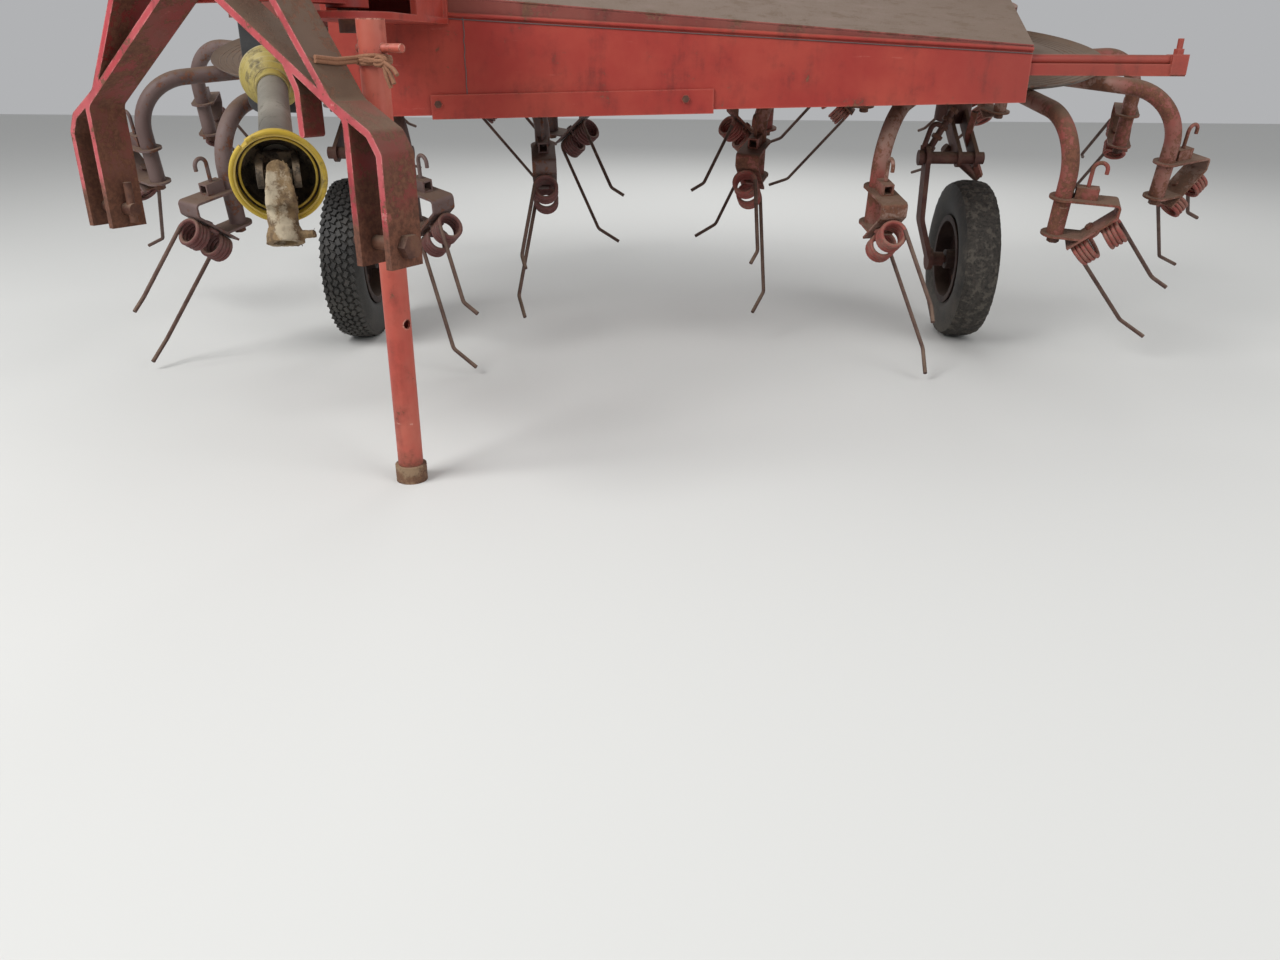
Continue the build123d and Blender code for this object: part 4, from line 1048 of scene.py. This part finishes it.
@dataclass
class Tines:
    """A rotor's arms, carriers and double spring tines.

    The first arm's angle and each carrier's turn on its stub are in degrees. Pairs give the outer tine first.
    A nut's or bolt's size is the radius of its corners and its height.
    """

    shop: Workshop
    side: Side
    first_arm: float
    turns: tuple[int, ...]
    arms: int = 8
    stub_radius: float = 0.540
    stub_below: float = 0.052
    arm_run: float = 0.200
    arm_bend: float = 0.130
    arm_radius: float = 0.019
    arm_start: float = 0.074
    wire: float = 0.00474
    coil: float = 0.027
    coil_out: float = 0.099
    coil_drop: float = 0.0555
    coil_slope: float = math.radians(43.0)
    coil_half: float = 0.058
    coil_gap: float = 0.016
    turns_per_coil: int = 4
    steps_per_turn: int = 24
    loop_back: float = 0.006
    loop_steps: int = 12
    lengths: tuple[float, float] = (0.250, 0.182)
    tips: tuple[float, float] = (0.070, 0.042)
    tip_bend: float = 0.022
    lag: tuple[float, float] = (math.radians(13.5), math.radians(-4.0))
    tip_lag: tuple[float, float] = (math.radians(-11.0), math.radians(19.6))
    stub_nut: tuple[float, float] = (0.014, 0.012)
    stub_nut_drop: float = 0.013
    dish_bolt: tuple[float, float] = (0.009, 0.007)
    bolt_circle: float = 0.118
    bolt_height: float = 0.2221
    bead_radii: tuple[float, ...] = (0.266, 0.281, 0.296, 0.311, 0.326)
    bead_height: float = 0.2205
    bead_wire: float = 0.0028

    @property
    def body(self) -> str:
        """Return the name of the rotor's body."""
        return f"rotor_{self.side.value}"

    @property
    def base(self) -> Matrix:
        """Return the rotor's own frame, Z along its axis."""
        spot = (self.side.sign * ROTOR_X, ROTOR_Y, ROTOR_Z)
        return Matrix.Translation(spot) @ Matrix.Rotation(TILT, 4, "X")

    @property
    def coil_axis(self) -> Vector:
        """Return the direction of the coils' axis in a carrier's frame."""
        return Vector((math.cos(self.coil_slope), 0, math.sin(self.coil_slope)))

    @property
    def coil_down(self) -> Vector:
        """Return the direction square to the coils' axis in which the tines leave."""
        return Vector((math.sin(self.coil_slope), 0, -math.cos(self.coil_slope)))

    @property
    def coil_centre(self) -> Vector:
        """Return the middle between the two coils in a carrier's frame."""
        return Vector((self.coil_out, 0, -self.coil_drop))

    def arm_places(self) -> list[Matrix]:
        """Return the frame of every arm, origin on the rotor's axis."""
        first, step = math.radians(self.first_arm), 2 * math.pi / self.arms
        return [self.base @ Matrix.Rotation(first + step * k, 4, "Z") for k in range(self.arms)]

    def carrier_places(self) -> list[Matrix]:
        """Return the frame of every carrier, origin in the stub."""
        shift = Matrix.Translation((self.stub_radius, 0, 0))
        trail = self.side.sign
        return [
            place @ shift @ Matrix.Rotation(math.radians(trail * turn), 4, "Z")
            for place, turn in zip(self.arm_places(), self.turns)
        ]

    def wire_path(self) -> list[Vector]:
        """Return the run of one double spring, for a rotor that trails to +Y."""
        axis, down, centre = self.coil_axis, self.coil_down, self.coil_centre
        back = Vector((0, 1, 0))

        def direction(angles: tuple[float, float]) -> Vector:
            """Return the direction for a lag and a lean."""
            across = down * math.cos(angles[0]) + back * math.sin(angles[0])
            return across * math.cos(angles[1]) + axis * math.sin(angles[1])

        leg, tip = direction(self.lag), direction(self.tip_lag)
        leave = math.pi / 2 + self.lag[0]
        sweep = math.pi - leave + 2 * math.pi * self.turns_per_coil
        steps = self.steps_per_turn * self.turns_per_coil
        outer, inner = self.coil_half - self.wire, self.coil_gap / 2 + self.wire
        halves = []
        for sign, length, tip_length in zip((-1, 1), self.lengths, self.tips):
            helix = []
            for k in range(steps + 1):
                share = k / steps
                angle = leave + sweep * share
                ring = (down * math.cos(angle) + back * math.sin(angle)) * self.coil
                helix.append(centre + ring + axis * sign * (outer + (inner - outer) * share))
            bend = helix[0] + leg * length
            halves.append([*bent([bend + tip * tip_length, bend, helix[0]], self.tip_bend, 8), *helix[1:]])
        loop_centre = centre - down * self.coil - back * self.loop_back
        loop = []
        for k in range(1, self.loop_steps):
            angle = math.pi * k / self.loop_steps
            loop.append(loop_centre - axis * math.cos(angle) * inner - back * math.sin(angle) * inner)
        return [*halves[0], *loop, *halves[1][::-1]]

    def arm_path(self) -> list[Vector]:
        """Return the run of one arm in its own frame."""
        corners = [
            Vector((self.arm_start, 0, self.arm_run)),
            Vector((self.stub_radius, 0, self.arm_run)),
            Vector((self.stub_radius, 0, -self.stub_below)),
        ]
        return bent(corners, self.arm_bend, 16)

    def springs(self) -> None:
        """Build the double springs, painted on their coils and bare on their tines."""
        shop, tag = self.shop, self.side.value
        coil = shop.finishes.coil[self.side]
        path = self.wire_path()
        if self.side is Side.LEFT:
            path = [Vector((p.x, -p.y, p.z)) for p in path]
        spring = shop.rod([path], self.wire, "spring", coil, 10)
        down, centre, painted = self.coil_down, self.coil_centre, self.coil * 1.3
        straight = [(face.center - centre).dot(down) > painted for face in spring.data.polygons]
        springs = shop.place(spring, self.carrier_places(), f"wire_springs_{tag}", coil)
        springs.data.materials.append(shop.finishes.tine)
        for index, face in enumerate(springs.data.polygons):
            face.material_index = int(straight[index % len(straight)])
        shop.keep(springs, self.body, f"spring_tines_{tag}")

    def fittings(self) -> None:
        """Build the stubs' nuts, the dish's bolts and its pressed beads."""
        shop, tag = self.shop, self.side.value
        steel = shop.finishes.rust
        nut = shop.shell(lambda shape: hexagon(shape, *self.stub_nut), "nut", steel)
        below = Matrix.Translation((self.stub_radius, 0, -self.stub_below - self.stub_nut_drop))
        ends = [place @ below for place in self.arm_places()]
        shop.keep(shop.place(nut, ends, f"stub_nuts_{tag}", steel), self.body)
        head = shop.shell(lambda shape: hexagon(shape, *self.dish_bolt), "bolt", steel)
        out = Matrix.Translation((self.bolt_circle, 0, self.bolt_height))
        ring = []
        for k in range(2 * self.arms):
            angle = math.radians(self.first_arm) + math.pi * (2 * k + 1) / (2 * self.arms)
            ring.append(self.base @ Matrix.Rotation(angle, 4, "Z") @ out)
        shop.keep(shop.place(head, ring, f"dish_bolts_{tag}", steel), self.body)
        beads = [circle(self.base, radius, self.bead_height) for radius in self.bead_radii]
        shop.keep(shop.rod(beads, self.bead_wire, f"dish_beads_{tag}", shop.finishes.dish, 8), self.body)

    def build(self) -> None:
        """Build the arms and springs, dress the carriers and dish, and add the fittings."""
        shop, tag = self.shop, self.side.value
        coat = shop.finishes.arms[self.side]
        arm = shop.rod([self.arm_path()], self.arm_radius, "arm", coat, 28)
        tubes = shop.place(arm, self.arm_places(), f"arm_tubes_{tag}", coat)
        shop.keep(tubes, self.body, f"rotor_arms_{tag}")
        self.springs()
        shop.dress(f"tine_carriers_{tag}", self.body, coat)
        shop.dress(f"rotor_dish_{tag}", self.body, shop.finishes.dish, 0.0)
        self.fittings()


@dataclass
class Wheel:
    """A small wheel: tyre with moulded tread or worn bald, pressed rim and nuts."""

    shop: Workshop
    side: Side
    width: float = 0.095
    rim_radius: float = 0.1015
    rows: int = 6
    blocks: int = 58
    block_height: float = 0.0055
    block_root: float = 0.0025
    block_slant: float = 24.0
    crown_share: float = 0.86
    crown_drop: float = 0.012
    crown_power: float = 2.6
    crumbled_depth: float = 0.0125
    lump_height: float = 0.0024
    lump_scale: float = 70.0
    crack_depth: float = 0.0040
    crack_scale: float = 110.0
    worn_off: float = 0.0020
    nut: tuple[float, float] = (0.009, 0.009)
    nuts: int = 5
    nut_circle: float = 0.055
    nut_out: float = 0.0024

    def crown_radius(self, top: float, share: float) -> float:
        """Return the crown's radius at a share of the half width, for its radius in the middle."""
        return top - self.crown_drop * abs(share) ** self.crown_power

    def carcass(self, tread_height: float, steps: int) -> list[tuple[float, float]]:
        """Return the closed profile of the tyre under its tread.

        Args:
            tread_height: Room left for the blocks.
            steps: Points across the crown.

        Returns:
            Radius and distance from the middle, round the section.
        """
        crown = WHEEL_RADIUS - tread_height
        half = self.width / 2
        shares = [-self.crown_share + 2 * self.crown_share * k / (steps - 1) for k in range(steps)]
        outer = [(self.crown_radius(crown, share), share * half) for share in shares]
        seat = self.rim_radius + 0.0035
        wall = [
            (crown - 0.026, half * 0.97),
            (crown - 0.048, half),
            (crown - 0.070, half * 0.93),
            (self.rim_radius + 0.010, half * 0.78),
            (seat, half * 0.66),
        ]
        inner = [
            (seat, half * 0.5),
            (self.rim_radius + 0.03, half * 0.72),
            (crown - 0.03, half * 0.6),
            (crown - 0.018, 0.0),
        ]
        right = [(radius, -across) for radius, across in wall[::-1]]
        inner_right = [(radius, -across) for radius, across in inner[:-1]]
        return [*right, *outer, *wall, *inner, *inner_right[::-1]]

    def block(self, shape: bmesh.types.BMesh, length: float, width: float) -> None:
        """Fill a shape with one tapered tread block that stands on its origin.

        Args:
            shape: The shape to fill.
            length: Length round the tyre.
            width: Width across it.
        """
        corners = ((-0.5, -0.5), (0.5, -0.5), (0.5, 0.5), (-0.5, 0.5))
        rings = []
        for scale, level in ((1.12, -self.block_root), (0.92, self.block_height - 0.0004)):
            wide, deep = length * scale, width * scale
            rings.append([shape.verts.new((x * wide, y * deep, level)) for x, y in corners])
        low, high = rings
        for k in range(4):
            after = (k + 1) % 4
            shape.faces.new((low[k], low[after], high[after], high[k]))
        shape.faces.new(high)
        shape.faces.new(low[::-1])

    def centre(self) -> Vector:
        """Return the wheel's centre, from the solid tyre."""
        low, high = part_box(f"tyre_{self.side.value}")
        return (low + high) / 2

    def wear(self, tyre: bpy.types.Object, place: Matrix) -> None:
        """Roughen a bald tyre's crown as cracked, crumbling rubber.

        Args:
            tyre: The tyre's carcass.
            place: The wheel's frame, Z along its axle.
        """
        back = place.inverted()
        for vertex in tyre.data.vertices:
            own = back @ vertex.co
            radius = math.hypot(own.x, own.y)
            crown = max(0.0, min(1.0, (radius - WHEEL_RADIUS + 0.026) / 0.016))
            lumps = noise.fractal(vertex.co * self.lump_scale, 0.6, 2.1, 6) * self.lump_height
            cracks = self.crack_depth * max(0.0, noise.noise(vertex.co * self.crack_scale) - 0.15)
            push = crown * (min(lumps, 0.9 * self.worn_off) - cracks - self.worn_off)
            own.xy *= 1.0 + push / radius
            vertex.co = place @ own

    def tread(self, place: Matrix, rubber: bpy.types.Material) -> None:
        """Add rows of slanted blocks round the crown.

        Args:
            place: The wheel's frame, Z along its axle.
            rubber: The tyre's finish.
        """
        shop, tag = self.shop, self.side.value
        pitch = 2 * math.pi * WHEEL_RADIUS / self.blocks
        row_width = self.width * self.crown_share / self.rows
        block = shop.shell(lambda shape: self.block(shape, pitch * 0.72, row_width * 0.80), "block", rubber)
        top = WHEEL_RADIUS - self.block_height
        spots = []
        for row in range(self.rows):
            odd = row % 2
            share = ((row + 0.5) / self.rows * 2 - 1) * self.crown_share
            out = Matrix.Translation((self.crown_radius(top, share), 0, share * self.width / 2))
            slant = math.radians(self.block_slant if odd else -self.block_slant)
            lean = -0.3 * share * abs(share)
            up = Matrix.Rotation(math.pi / 2 + lean, 4, "Y") @ Matrix.Rotation(math.pi / 2 + slant, 4, "Z")
            for k in range(self.blocks):
                angle = 2 * math.pi * (k + 0.5 * odd) / self.blocks
                spots.append(place @ Matrix.Rotation(angle, 4, "Z") @ out @ up)
        shop.keep(shop.place(block, spots, f"tread_{tag}", rubber), f"wheel_{tag}")

    def rim_nuts(self, place: Matrix) -> None:
        """Add the nuts on both faces of the rim's disc.

        Args:
            place: The wheel's frame, Z along its axle.
        """
        shop, tag = self.shop, self.side.value
        steel = shop.finishes.rust
        nut = shop.shell(lambda shape: hexagon(shape, *self.nut), "nut", steel)
        nuts = []
        for facing in (-1, 1):
            out = Matrix.Translation((self.nut_circle, 0, facing * self.nut_out))
            flip = Matrix.Rotation(math.pi, 4, "X") if facing < 0 else Matrix.Identity(4)
            for k in range(self.nuts):
                nuts.append(place @ Matrix.Rotation(2 * math.pi * k / self.nuts, 4, "Z") @ out @ flip)
        shop.keep(shop.place(nut, nuts, f"rim_nuts_{tag}", steel), f"wheel_{tag}")

    def build(self) -> None:
        """Build the tyre, its tread or wear, the rim and the hub's nuts."""
        shop, tag = self.shop, self.side.value
        finishes = shop.finishes
        place = turned(self.centre(), Vector((1, 0, 0)))
        name = f"tyre_carcass_{tag}"
        if self.side is Side.RIGHT:
            tyre = shop.lathe(self.carcass(0.0, 41), place, name, finishes.worn_tread, 420)
            self.wear(tyre, place)
            centre, edge = self.centre(), WHEEL_RADIUS - self.crumbled_depth
            paint(
                tyre,
                finishes.crumbled,
                lambda spot, normal: math.hypot(spot.y - centre.y, spot.z - centre.z) > edge,
            )
        else:
            tyre = shop.lathe(self.carcass(self.block_height, 13), place, name, finishes.tread, 96)
            self.tread(place, finishes.tread)
        shop.keep(tyre, f"wheel_{tag}", f"tyre_{tag}")
        shop.dress(f"rim_{tag}", f"wheel_{tag}", finishes.rim, 0.001)
        self.rim_nuts(place)


@dataclass
class DriveShaft:
    """The guarded drive shaft: bell with its split ring, bellows cone, tube and hanging yoke."""

    shop: Workshop
    bell_radius: float = 0.078
    bell_length: float = 0.030
    bell_ridge: float = 0.0018
    bell_ridges: int = 6
    mouth_ahead: float = 0.009
    collar: float = 0.036
    cone_radius: float = 0.066
    cone_length: float = 0.066
    cone_swell: float = 0.0035
    cone_folds: int = 8
    tube_radius: float = 0.0318
    tube_start: float = 0.074
    wall: float = 0.003
    ring_wire: float = 0.0042
    ring_gap: tuple[float, float] = (2.20, 2.36)
    inner_ring_wire: float = 0.0022
    inner_ring_depth: float = 0.0150

    def bell(self, place: Matrix, length: float) -> None:
        """Build the bell: a ribbed throat, a dark inside and a split ring round its mouth.

        Args:
            place: The shaft's frame, Z towards the mouth.
            length: Distance from the rear joint to the front one.
        """
        shop, finishes, tube = self.shop, self.shop.finishes, self.tube_radius
        mouth = length + self.mouth_ahead
        throat = length - self.tube_start
        shell = self.bell_radius - 2 * self.ring_wire + 0.001
        outside = [(tube + 0.002, throat - self.collar), (tube + 0.0025, throat - 0.004)]
        for k in range(self.bell_ridges + 1):
            share = k / self.bell_ridges
            flare = (shell - tube - 0.008) * share**0.8
            ridge = self.bell_ridge if k % 2 else 0.0
            outside.append((tube + 0.004 + flare + ridge, throat + 0.002 + self.bell_length * share))
        outside += [(shell - 0.003, length - 0.020), (shell - 0.001, length - 0.006), (shell, mouth - 0.002)]
        inside = [(radius - self.wall, height) for radius, height in outside[:1:-1]]
        inside += [(tube - 0.0005, throat - 0.002), (tube - 0.0005, throat - self.collar)]
        bell = shop.lathe([*outside, *inside], place, "guard_bell", finishes.yellow, 104)
        back = place.inverted()
        axis = place.to_3x3() @ UP

        def hollow(centre: Vector, normal: Vector) -> bool:
            """Tell the faces of the bell's inside, a little behind its mouth."""
            across = centre - place.translation
            across -= axis * across.dot(axis)
            return normal.dot(across) < 0 and (back @ centre).z < mouth - 0.009

        # The bell's inside, behind its mouth, takes the dark joint finish, so the bell is darker inside.
        paint(bell, finishes.grease, hollow)
        shop.keep(bell, "frame", "guard_bell_front")
        start, end = self.ring_gap
        lip = mouth - self.ring_wire - 0.0005
        split = circle(place, self.bell_radius - self.ring_wire, lip, end, 2 * math.pi - end + start)
        shop.keep(shop.rod([split], self.ring_wire, "bell_ring", finishes.yellow, 14), "frame")
        inner = circle(place, self.bell_radius - 0.0170, mouth - self.inner_ring_depth)
        shop.keep(shop.rod([inner], self.inner_ring_wire, "bell_inner_ring", finishes.yellow, 10), "frame")

    def bellows(self, place: Matrix) -> None:
        """Build the folded cone over the rear joint.

        Args:
            place: The shaft's frame, Z away from the cone's mouth.
        """
        shop, tube = self.shop, self.tube_radius
        outside = [(tube + 0.002, self.tube_start + self.collar), (tube + 0.003, self.tube_start)]
        for k in range(self.cone_folds + 1):
            share = k / self.cone_folds
            flare = (self.cone_radius - 0.042) * share**0.7
            swell = self.cone_swell if k % 2 else -0.001
            outside.append((tube + 0.006 + flare + swell, self.tube_start - self.cone_length * share))
        outside.append((self.cone_radius, 0.004))
        inside = [(radius - self.wall, height) for radius, height in outside[::-1]]
        # The cone takes the darker copy of the yellow guard: dirt and painted shade.
        cone = shop.lathe([*outside, *inside], place, "guard_bellows", shop.finishes.cone, 80)
        shop.keep(cone, "frame", "guard_cone_rear")

    def build(self) -> None:
        """Build the guards and dress the shaft's steel pieces."""
        shop, finishes = self.shop, self.shop.finishes
        line = SHAFT_FRONT - SHAFT_REAR
        place = turned(SHAFT_REAR, line)
        self.bell(place, line.length)
        self.bellows(place)
        shop.dress("guard_tube", "frame", finishes.grey, 0.0008)
        for node in ("inner_shaft", "front_cross", "rear_cross", "input_shaft"):
            shop.dress(node, "frame", finishes.grease)
        shop.dress("front_yoke", "frame", finishes.yoke, 0.0, lumps=(0.0022, 0.0022, 45.0))
        shop.dress("input_shield", "frame", finishes.black)


@dataclass
class Housing:
    """The skirt, deck, angle, rails and gearboxes, with their bolts and the rolled lip.

    The right leg's link, lever, cross link and strap are given by their places in the machine's frame.
    """

    shop: Workshop
    lip_radius: float = 0.0045
    lip_left: Triple = (-0.690, SKIRT_Y - 0.001, 0.7785)
    lip_right: Triple = (0.800, SKIRT_Y - 0.001, 0.7055)
    crack_and_shadow_radius: float = 0.0011
    seam_foot: Triple = (-0.402, SKIRT_Y - 0.0006, 0.571)
    seam_step: float = 0.0096
    seam_points: int = 21
    seam_waver: float = 0.0012
    link_radius: float = 0.0085
    link_top: Triple = (0.755, 0.165, 0.570)
    link_foot: Triple = (0.694, 0.145, 0.462)
    nut: tuple[float, float] = (0.014, 0.010)
    nut_shares: tuple[float, ...] = (0.02, 0.22, 0.38, 0.60, 0.84)
    lever_radius: float = 0.0065
    lever_corners: tuple[Triple, ...] = ((0.700, 0.142, 0.536), (0.682, 0.142, 0.470))
    cross_radius: float = 0.0115
    cross_ends: tuple[Triple, ...] = ((0.752, 0.205, 0.472), (0.856, 0.232, 0.394))
    strap_radius: float = 0.0105
    strap_corners: tuple[Triple, ...] = ((0.812, 0.178, 0.560), (0.806, 0.195, 0.500), (0.858, 0.222, 0.398))

    def build(self) -> None:
        """Dress the sheet metal, with rusty bolt heads on the angle, and add its lip and the linkage."""
        shop, finishes = self.shop, self.shop.finishes
        for node in ("front_skirt", "front_bracket", "frame_rails", "end_rail"):
            shop.dress(node, "frame", finishes.red)
        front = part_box("skirt_angle")[0].y + 0.0035
        heads = {finishes.rust: lambda centre, normal: centre.y < front}
        shop.dress("skirt_angle", "frame", finishes.red, patches=heads)
        shop.dress("deck_panel", "frame", finishes.deck)
        for node in ("gearbox_a", "gearbox_b", "cross_beam"):
            shop.dress(node, "frame", finishes.iron, 0.003)
        shop.dress("pivot_pin", "frame", finishes.rust)
        for side in Side:
            shop.dress(f"wheel_leg_{side.value}", "frame", finishes.leg)
        self.linkage()
        self.skirt_lines()

    def skirt_lines(self) -> None:
        """Add the skirt's rolled lip, a dark line below it as painted shadow of the lip, and the seam's
        crack.
        """
        shop, finishes = self.shop, self.shop.finishes
        left, right = Vector(self.lip_left), Vector(self.lip_right)
        shop.keep(shop.rod([[left, right]], self.lip_radius, "skirt_lip", finishes.red), "frame")
        # A dark line just under the rolled lip, along its length: painted shadow of the lip.
        below = Vector((0.0, -0.0004, -self.lip_radius - 0.004))
        rng = random.Random(11)
        x, y, z = self.seam_foot
        seam = []
        for k in range(self.seam_points):
            waver = rng.uniform(-self.seam_waver, self.seam_waver)
            seam.append(Vector((x + waver, y, z + self.seam_step * k)))
        lines = [[left + below, right + below], seam]
        shop.keep(shop.rod(lines, self.crack_and_shadow_radius, "skirt_cracks", finishes.crack_and_lip_shadow, 6), "frame")

    def linkage(self) -> None:
        """Add the right leg's adjusting link with its nuts, hooked lever, tube and second strap."""
        shop, finishes = self.shop, self.shop.finishes
        top, foot = Vector(self.link_top), Vector(self.link_foot)
        shop.keep(shop.rod([[top, foot]], self.link_radius, "adjusting_link", finishes.leg), "frame")
        lever = bent([top.lerp(foot, 0.40), *map(Vector, self.lever_corners)], 0.018, 8)
        hook = [lever[-1] + UP * 0.012, lever[-1]]
        shop.keep(shop.rod([lever, hook], self.lever_radius, "link_lever", finishes.leg), "frame")
        nut = shop.shell(lambda shape: hexagon(shape, *self.nut), "nut", finishes.rust)
        spots = []
        for k, share in enumerate(self.nut_shares):
            spots.append(turned(top.lerp(foot, share), foot - top, 0.4 * k))
        shop.keep(shop.place(nut, spots, "link_nuts", finishes.rust), "frame")
        tube = [Vector(end) for end in self.cross_ends]
        shop.keep(shop.rod([tube], self.cross_radius, "cross_link", finishes.leg, 18), "frame")
        strap = bent([Vector(corner) for corner in self.strap_corners], 0.05, 8)
        coat = finishes.arms[Side.RIGHT]
        shop.keep(shop.rod([strap], self.strap_radius, "second_strap", coat, 4), "frame")


@dataclass
class Headstock:
    """The swivel A-frame with its pins, the parking jack and the twine tie.

    A loop of the knot is its size and tilt, and a loose end is its reach and drop.
    """

    shop: Workshop
    jack_across: float = 0.269
    jack_ahead: float = 0.2155
    leg_radius: float = 0.0215
    mud_height: float = 0.034
    worn_band: tuple[float, float] = (0.255, 0.272)
    brown_height: float = 0.63
    strand: float = 0.0032
    tie_heights: tuple[float, ...] = (0.6885, 0.6840, 0.6800)
    tie_steps: int = 28
    knot_loops: tuple[tuple[float, float], ...] = ((0.009, 0.3), (0.008, 1.5), (0.010, 2.4))
    loose_ends: tuple[tuple[float, float], ...] = ((0.034, 0.018), (0.026, 0.030), (0.018, 0.036))

    def build(self) -> None:
        """Dress the bars and jack and add the tie."""
        shop, finishes = self.shop, self.shop.finishes

        def edge(centre: Vector, normal: Vector) -> bool:
            """Tell the narrow faces of the bars, square to AHEAD, which take a lighter copy of the bar paint
            as painted highlight.
            """
            return abs(normal.dot(AHEAD)) > 0.9

        def brown(centre: Vector, normal: Vector) -> bool:
            """Tell the broad faces of the upper bars, gone brown."""
            return abs(normal.dot(AHEAD)) < 0.5 and centre.z > self.brown_height

        def muddy(centre: Vector, normal: Vector) -> bool:
            """Tell the faces of the jack's foot."""
            return centre.z < self.mud_height

        def bare(centre: Vector, normal: Vector) -> bool:
            """Tell the faces of the band round the leg that has lost its paint."""
            return self.worn_band[0] < centre.z < self.worn_band[1]

        # The bars' faces square to AHEAD take the lighter copy of the bar paint, a painted highlight.
        patches = {finishes.brown_bars: brown, finishes.bars_lit_faces: edge}
        shop.dress("hitch_side_left", "headstock", finishes.bars, 0.0015, {finishes.bars_lit_faces: edge})
        shop.dress("hitch_side_right", "headstock", finishes.bars, 0.0015, patches)
        for node in ("swivel_head", "jack_sleeve"):
            shop.dress(node, "headstock", finishes.red, 0.0015)
        for node in ("hitch_pin_left", "hitch_pin_right", "top_link_pin"):
            shop.dress(node, "headstock", finishes.rust)
        shop.dress("jack_leg", "jack", finishes.jack, 0.0008, {finishes.foot: muddy, finishes.rust: bare})
        self.tie()

    def tie_turn(self, turn: int, height: float) -> list[Vector]:
        """Return one turn of twine round the jack's leg.

        Args:
            turn: Its number, which shifts it a little.
            height: Its height above the floor.

        Returns:
            The points of the turn.
        """
        reach = self.leg_radius + self.strand + 0.0006 * (turn % 2)
        ring = []
        for k in range(self.tie_steps + 1):
            a = math.radians(250 - 345 * k / self.tie_steps)
            across, ahead = self.jack_across + math.cos(a) * reach, self.jack_ahead + math.sin(a) * reach
            ring.append(head_point(across, ahead, height + 0.0012 * math.sin(a * 2 + turn)))
        return ring

    def tie(self) -> None:
        """Add the twine that ties the jack's leg to the right bar, with its knot and loose ends."""
        shop = self.shop
        rng = random.Random(7)
        strands = [self.tie_turn(turn, height) for turn, height in enumerate(self.tie_heights)]
        knot = head_point(self.jack_across + 0.031, self.jack_ahead + 0.018, 0.682)
        for lift in (0.0, 0.005):
            start = head_point(0.257, 0.318, 0.683 + lift)
            front = self.jack_ahead + self.leg_radius + 0.004
            over = head_point(self.jack_across - 0.006, front, 0.682 + lift)
            sag, rise = start.lerp(over, 0.5) - UP * 0.003, over.lerp(knot, 0.6) + AHEAD * 0.003
            strands.append([start, sag, over, rise, knot])
        for size, tilt in self.knot_loops:
            lean = (UP * math.cos(tilt) + AHEAD * math.sin(tilt)) * 0.7
            angles = [2 * math.pi * k / 16 for k in range(17)]
            strands.append([knot + (ACROSS * math.cos(a) + lean * math.sin(a)) * size for a in angles])
        for reach, drop in self.loose_ends:
            tail = []
            for share in (0.0, 0.25, 0.5, 0.75, 1.0):
                stray = AHEAD * rng.uniform(0.0, 0.004)
                tail.append(knot + ACROSS * reach * share - UP * drop * share * share + stray)
            strands.append(tail)
        shop.keep(shop.rod(strands, self.strand, "twine_tie", shop.finishes.twine, 8), "headstock")


@dataclass
class Stage:
    """The floor, the lights and the camera at the photograph's viewing angle.

    Each lamp has a name, a place, its power in watts and its size.
    """

    floor_half: float = 9.0
    camera_place: Triple = (0.027, ROTOR_Y - 2.857, 0.701)
    camera_turn: Triple = (66.59, -0.33, 1.37)
    lens: float = 28.0
    sensor: float = 36.0
    lamps: tuple[tuple[str, Triple, float, float], ...] = (
        ("key", (-2.6, -2.4, 3.2), 150.0, 2.2),
        ("fill", (3.0, -2.8, 2.6), 70.0, 2.6),
        ("back", (0.5, 3.2, 3.0), 60.0, 2.6),
    )
    lamp_target: Triple = (0.0, 0.0, 0.4)
    sky: Colour = (0.80, 0.81, 0.83)
    sky_strength: float = 0.55

    def build(self) -> None:
        """Build the floor, lights and camera."""
        mesh = bpy.data.meshes.new("floor")
        half = self.floor_half
        corners = [(-half, -half, 0), (half, -half, 0), (half, half, 0), (-half, half, 0)]
        mesh.from_pydata(corners, [], [(0, 1, 2, 3)])
        mesh.materials.append(PaleFloor().build())
        floor = bpy.data.objects.new("floor", mesh)
        bpy.context.scene.collection.objects.link(floor)
        for lamp in self.lamps:
            self.lamp(*lamp)
        world = bpy.data.worlds.new("studio")
        world.use_nodes = True
        background = world.node_tree.nodes["Background"]
        background.inputs["Color"].default_value = (*self.sky, 1.0)
        background.inputs["Strength"].default_value = self.sky_strength
        bpy.context.scene.world = world
        camera = bpy.data.cameras.new("camera")
        camera.lens = self.lens
        camera.sensor_width = self.sensor
        view = bpy.data.objects.new("camera", camera)
        view.location = self.camera_place
        view.rotation_euler = Euler([math.radians(angle) for angle in self.camera_turn])
        bpy.context.scene.collection.objects.link(view)
        bpy.context.scene.camera = view
        bpy.context.scene.view_settings.view_transform = "Standard"

    def lamp(self, name: str, place: Triple, power: float, size: float) -> None:
        """Add one soft square lamp that looks at the machine.

        Args:
            name: The lamp's name.
            place: Where it hangs.
            power: Its power in watts.
            size: Length of its side.
        """
        light = bpy.data.lights.new(name, "AREA")
        light.energy = power
        light.size = size
        lamp = bpy.data.objects.new(name, light)
        lamp.location = place
        aim = Vector(self.lamp_target) - Vector(place)
        lamp.rotation_euler = aim.to_track_quat("-Z", "Y").to_euler()
        bpy.context.scene.collection.objects.link(lamp)


def main() -> None:
    """Build every sub-assembly in order."""
    logging.basicConfig(level=logging.INFO, format="%(name)s %(message)s")
    shop = Workshop(Finishes())
    Stage().build()
    Tines(shop, Side.LEFT, -109.6, (9, -24, 63, 54, 58, 58, 58, 58)).build()
    Tines(shop, Side.RIGHT, -120.4, (40, 60, 58, 58, 58, 58, 58, 58)).build()
    for side in Side:
        Wheel(shop, side).build()
    DriveShaft(shop).build()
    Housing(shop).build()
    Headstock(shop).build()


if __name__ == "__main__":
    main()
